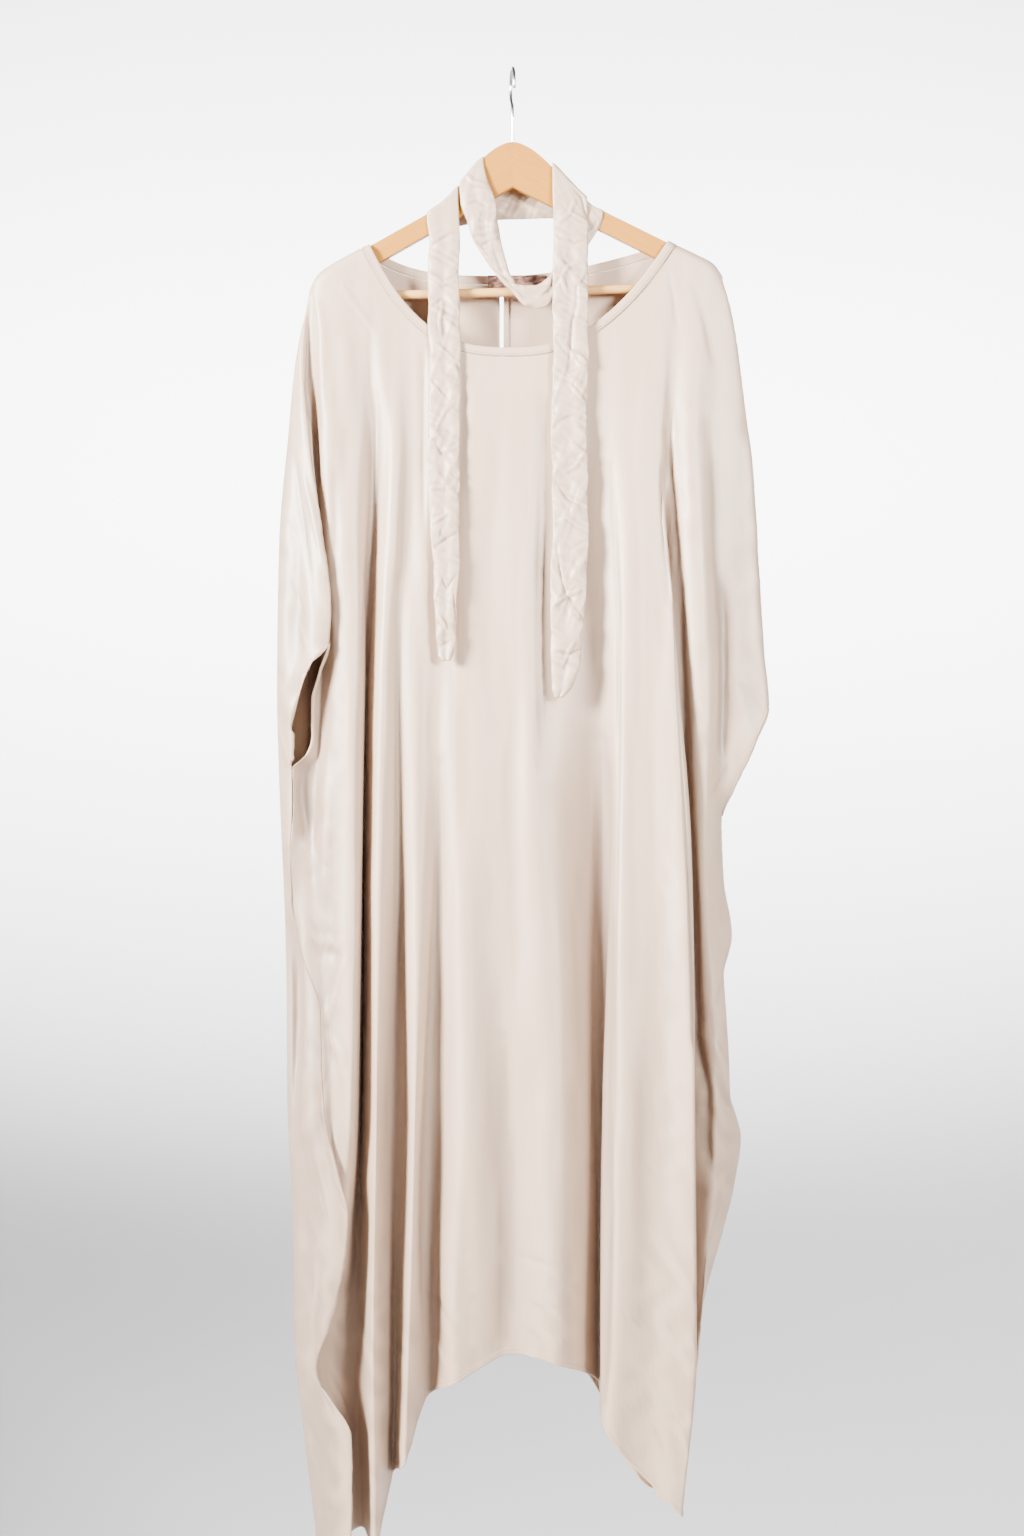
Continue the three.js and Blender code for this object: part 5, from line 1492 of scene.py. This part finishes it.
def neck_stitches():
    """Two rows near the band's sewn edge."""
    stations = neck_stations()
    paths = []
    for away in (7.0, 9.2):
        grid = neck_grid(stations, [away - 0.5, away, away + 0.5])
        outwards = grid_outwards(grid, closed_across=True)
        line = grid[1] + outwards[1] * (0.4 + NECK["band_thick"] / 2 + 0.05)
        paths.append(np.concatenate([line, line[:1]]))
    return stitch_rows("neck_stitches", paths)


def hem_stitches():
    row = -1 - HEM_ROWS[::-1].index(5)
    return stitch_rows("hem_stitches", [on_panel(panel, row, CLOTH_THICK * 0.85)
                                        for panel in panels.values()], pitch=3.2)


def cuff_stitches():
    paths = []
    for _, panel_name, edge, nearby, cuff in CUFF_EDGES:
        at_edge, across, outwards = along_cuff(panels[panel_name], edge, nearby, cuff, 3)
        paths.append(at_edge + across * 3.6 + outwards * 1.45)
    return stitch_rows("cuff_stitches", paths, pitch=2.8)


def slit_stitches():
    """The serged edge of the slit's facing."""
    drops = np.linspace(NECK["top"] + NECK["back"]["deep"] + NECK["band"] + 8, BACK_SLIT["bottom"] - 2, 60)
    edge = cloth_at("back", np.full(drops.shape, float(CENTRE_BACK)), drops)[:, 0]
    x = edge + BACK_SLIT["half_gap"] + BACK_SLIT["facing"] - 0.9 + 0.9 * np.where(np.arange(60) % 2, 1, -1)
    u = place_across("back", x, drops, CENTRE_BACK - 1, CENTRE_BACK)
    places = cloth_at("back", u, drops) - outward_at("back", u, drops) * (CLOTH_THICK / 2 + 1.3)
    return stitch_rows("slit_stitches", [places], pitch=2.0, length=2.3, thickness=0.4)


def camera():
    """Level, straight at the front, framed as the photograph is."""
    data = bpy.data.cameras.new("camera")
    middle_drop = (FRAME_SIZE[1] / 2 - HOOK_PIXEL[1]) * PIXEL
    view_height = FRAME_SIZE[1] * PIXEL * MM
    data.sensor_width = SENSOR
    data.lens = SENSOR * (CAMERA_AWAY + CLOTH_FRONT) / view_height
    data.clip_end = 60
    eye = bpy.data.objects.new("camera", data)
    eye.location = ((FRAME_SIZE[0] / 2 - HOOK_PIXEL[0]) * PIXEL * MM, -CAMERA_AWAY, -middle_drop * MM)
    eye.rotation_euler = (math.pi / 2, 0, 0)
    bpy.context.collection.objects.link(eye)
    bpy.context.scene.camera = eye


def backdrop():
    """A pale floor that rises in one long sweep into a round wall far behind."""
    floor_z, flat_reach, reach, height = -1.9, 1.2, 9.0, 6.5
    profile = [(0.001, floor_z), (flat_reach, floor_z)]
    for angle in np.linspace(0, math.pi / 2, 25)[1:]:
        profile.append((flat_reach + (reach - flat_reach) * math.sin(angle),
                        floor_z + height * (1 - math.cos(angle))))
    sides = 96
    turn = np.linspace(0, 2 * math.pi, sides, endpoint=False)
    places = [(r * math.cos(a), r * math.sin(a), z) for r, z in profile for a in turn]
    faces = ring_faces(len(profile), sides)[1]
    paper = Finish("backdrop_paper")
    mottle = paper.lumps(paper.add("ShaderNodeTexCoord", {}, {}, output=3), detail=2.0)
    material = paper.shade({
        "Base Color": paper.blend(mottle, (0.85, 0.85, 0.865, 1), (0.88, 0.88, 0.895, 1)),
        "Roughness": 0.95,
        "Specular IOR Level": 0.1,
    })
    make_mesh("backdrop", np.array(places) / MM, faces, material)


def soft_light(name, place, target, size, power, colour=(1, 1, 1), spread=180):
    data = bpy.data.lights.new(name, "AREA")
    data.shape = "RECTANGLE"
    data.size, data.size_y = size
    data.energy = power
    data.color = colour
    data.spread = math.radians(spread)
    lamp = bpy.data.objects.new(name, data)
    lamp.location = place
    lamp.rotation_euler = (Vector(target) - Vector(place)).to_track_quat("-Z", "Y").to_euler()
    bpy.context.collection.objects.link(lamp)


def lights():
    """A large box on either side in front, one behind, a low world fill, and a lit wall behind."""
    world = bpy.data.worlds.new("room")
    world.use_nodes = True
    world.node_tree.nodes["Background"].inputs["Color"].default_value = (0.96, 0.975, 1, 1)
    world.node_tree.nodes["Background"].inputs["Strength"].default_value = 0.085
    bpy.context.scene.world = world
    middle = (0, 0, -0.75)
    high = (0, 0, -0.42)
    soft_light("left_box", (-3.5, -2.4, 0.6), high, (1.2, 1.3), 166, (1, 0.985, 0.965), 56)
    soft_light("right_box", (2.4, -3.3, 0.3), high, (1.0, 1.2), 52, (1, 0.985, 0.965), 60)
    soft_light("back_box", (0.5, 4.2, 1.4), middle, (2.4, 1.6), 60)
    for name, place in (("wall_left", (-2.6, 3.4, 3.0)), ("wall_right", (2.6, 3.4, 3.0))):
        soft_light(name, place, (0, 8.2, -0.6), (1.6, 1.6), 500, (0.97, 0.98, 1), 100)


camera()
backdrop()
lights()
cloth = body_panels()
band = neck_binding()
cuffs = cuff_bindings()
facing = back_slit_facing()
label = neck_label()
wooden = hanger()
sash_pieces = sash()
seams = [neck_stitches(), hem_stitches(), cuff_stitches(), slit_stitches()]
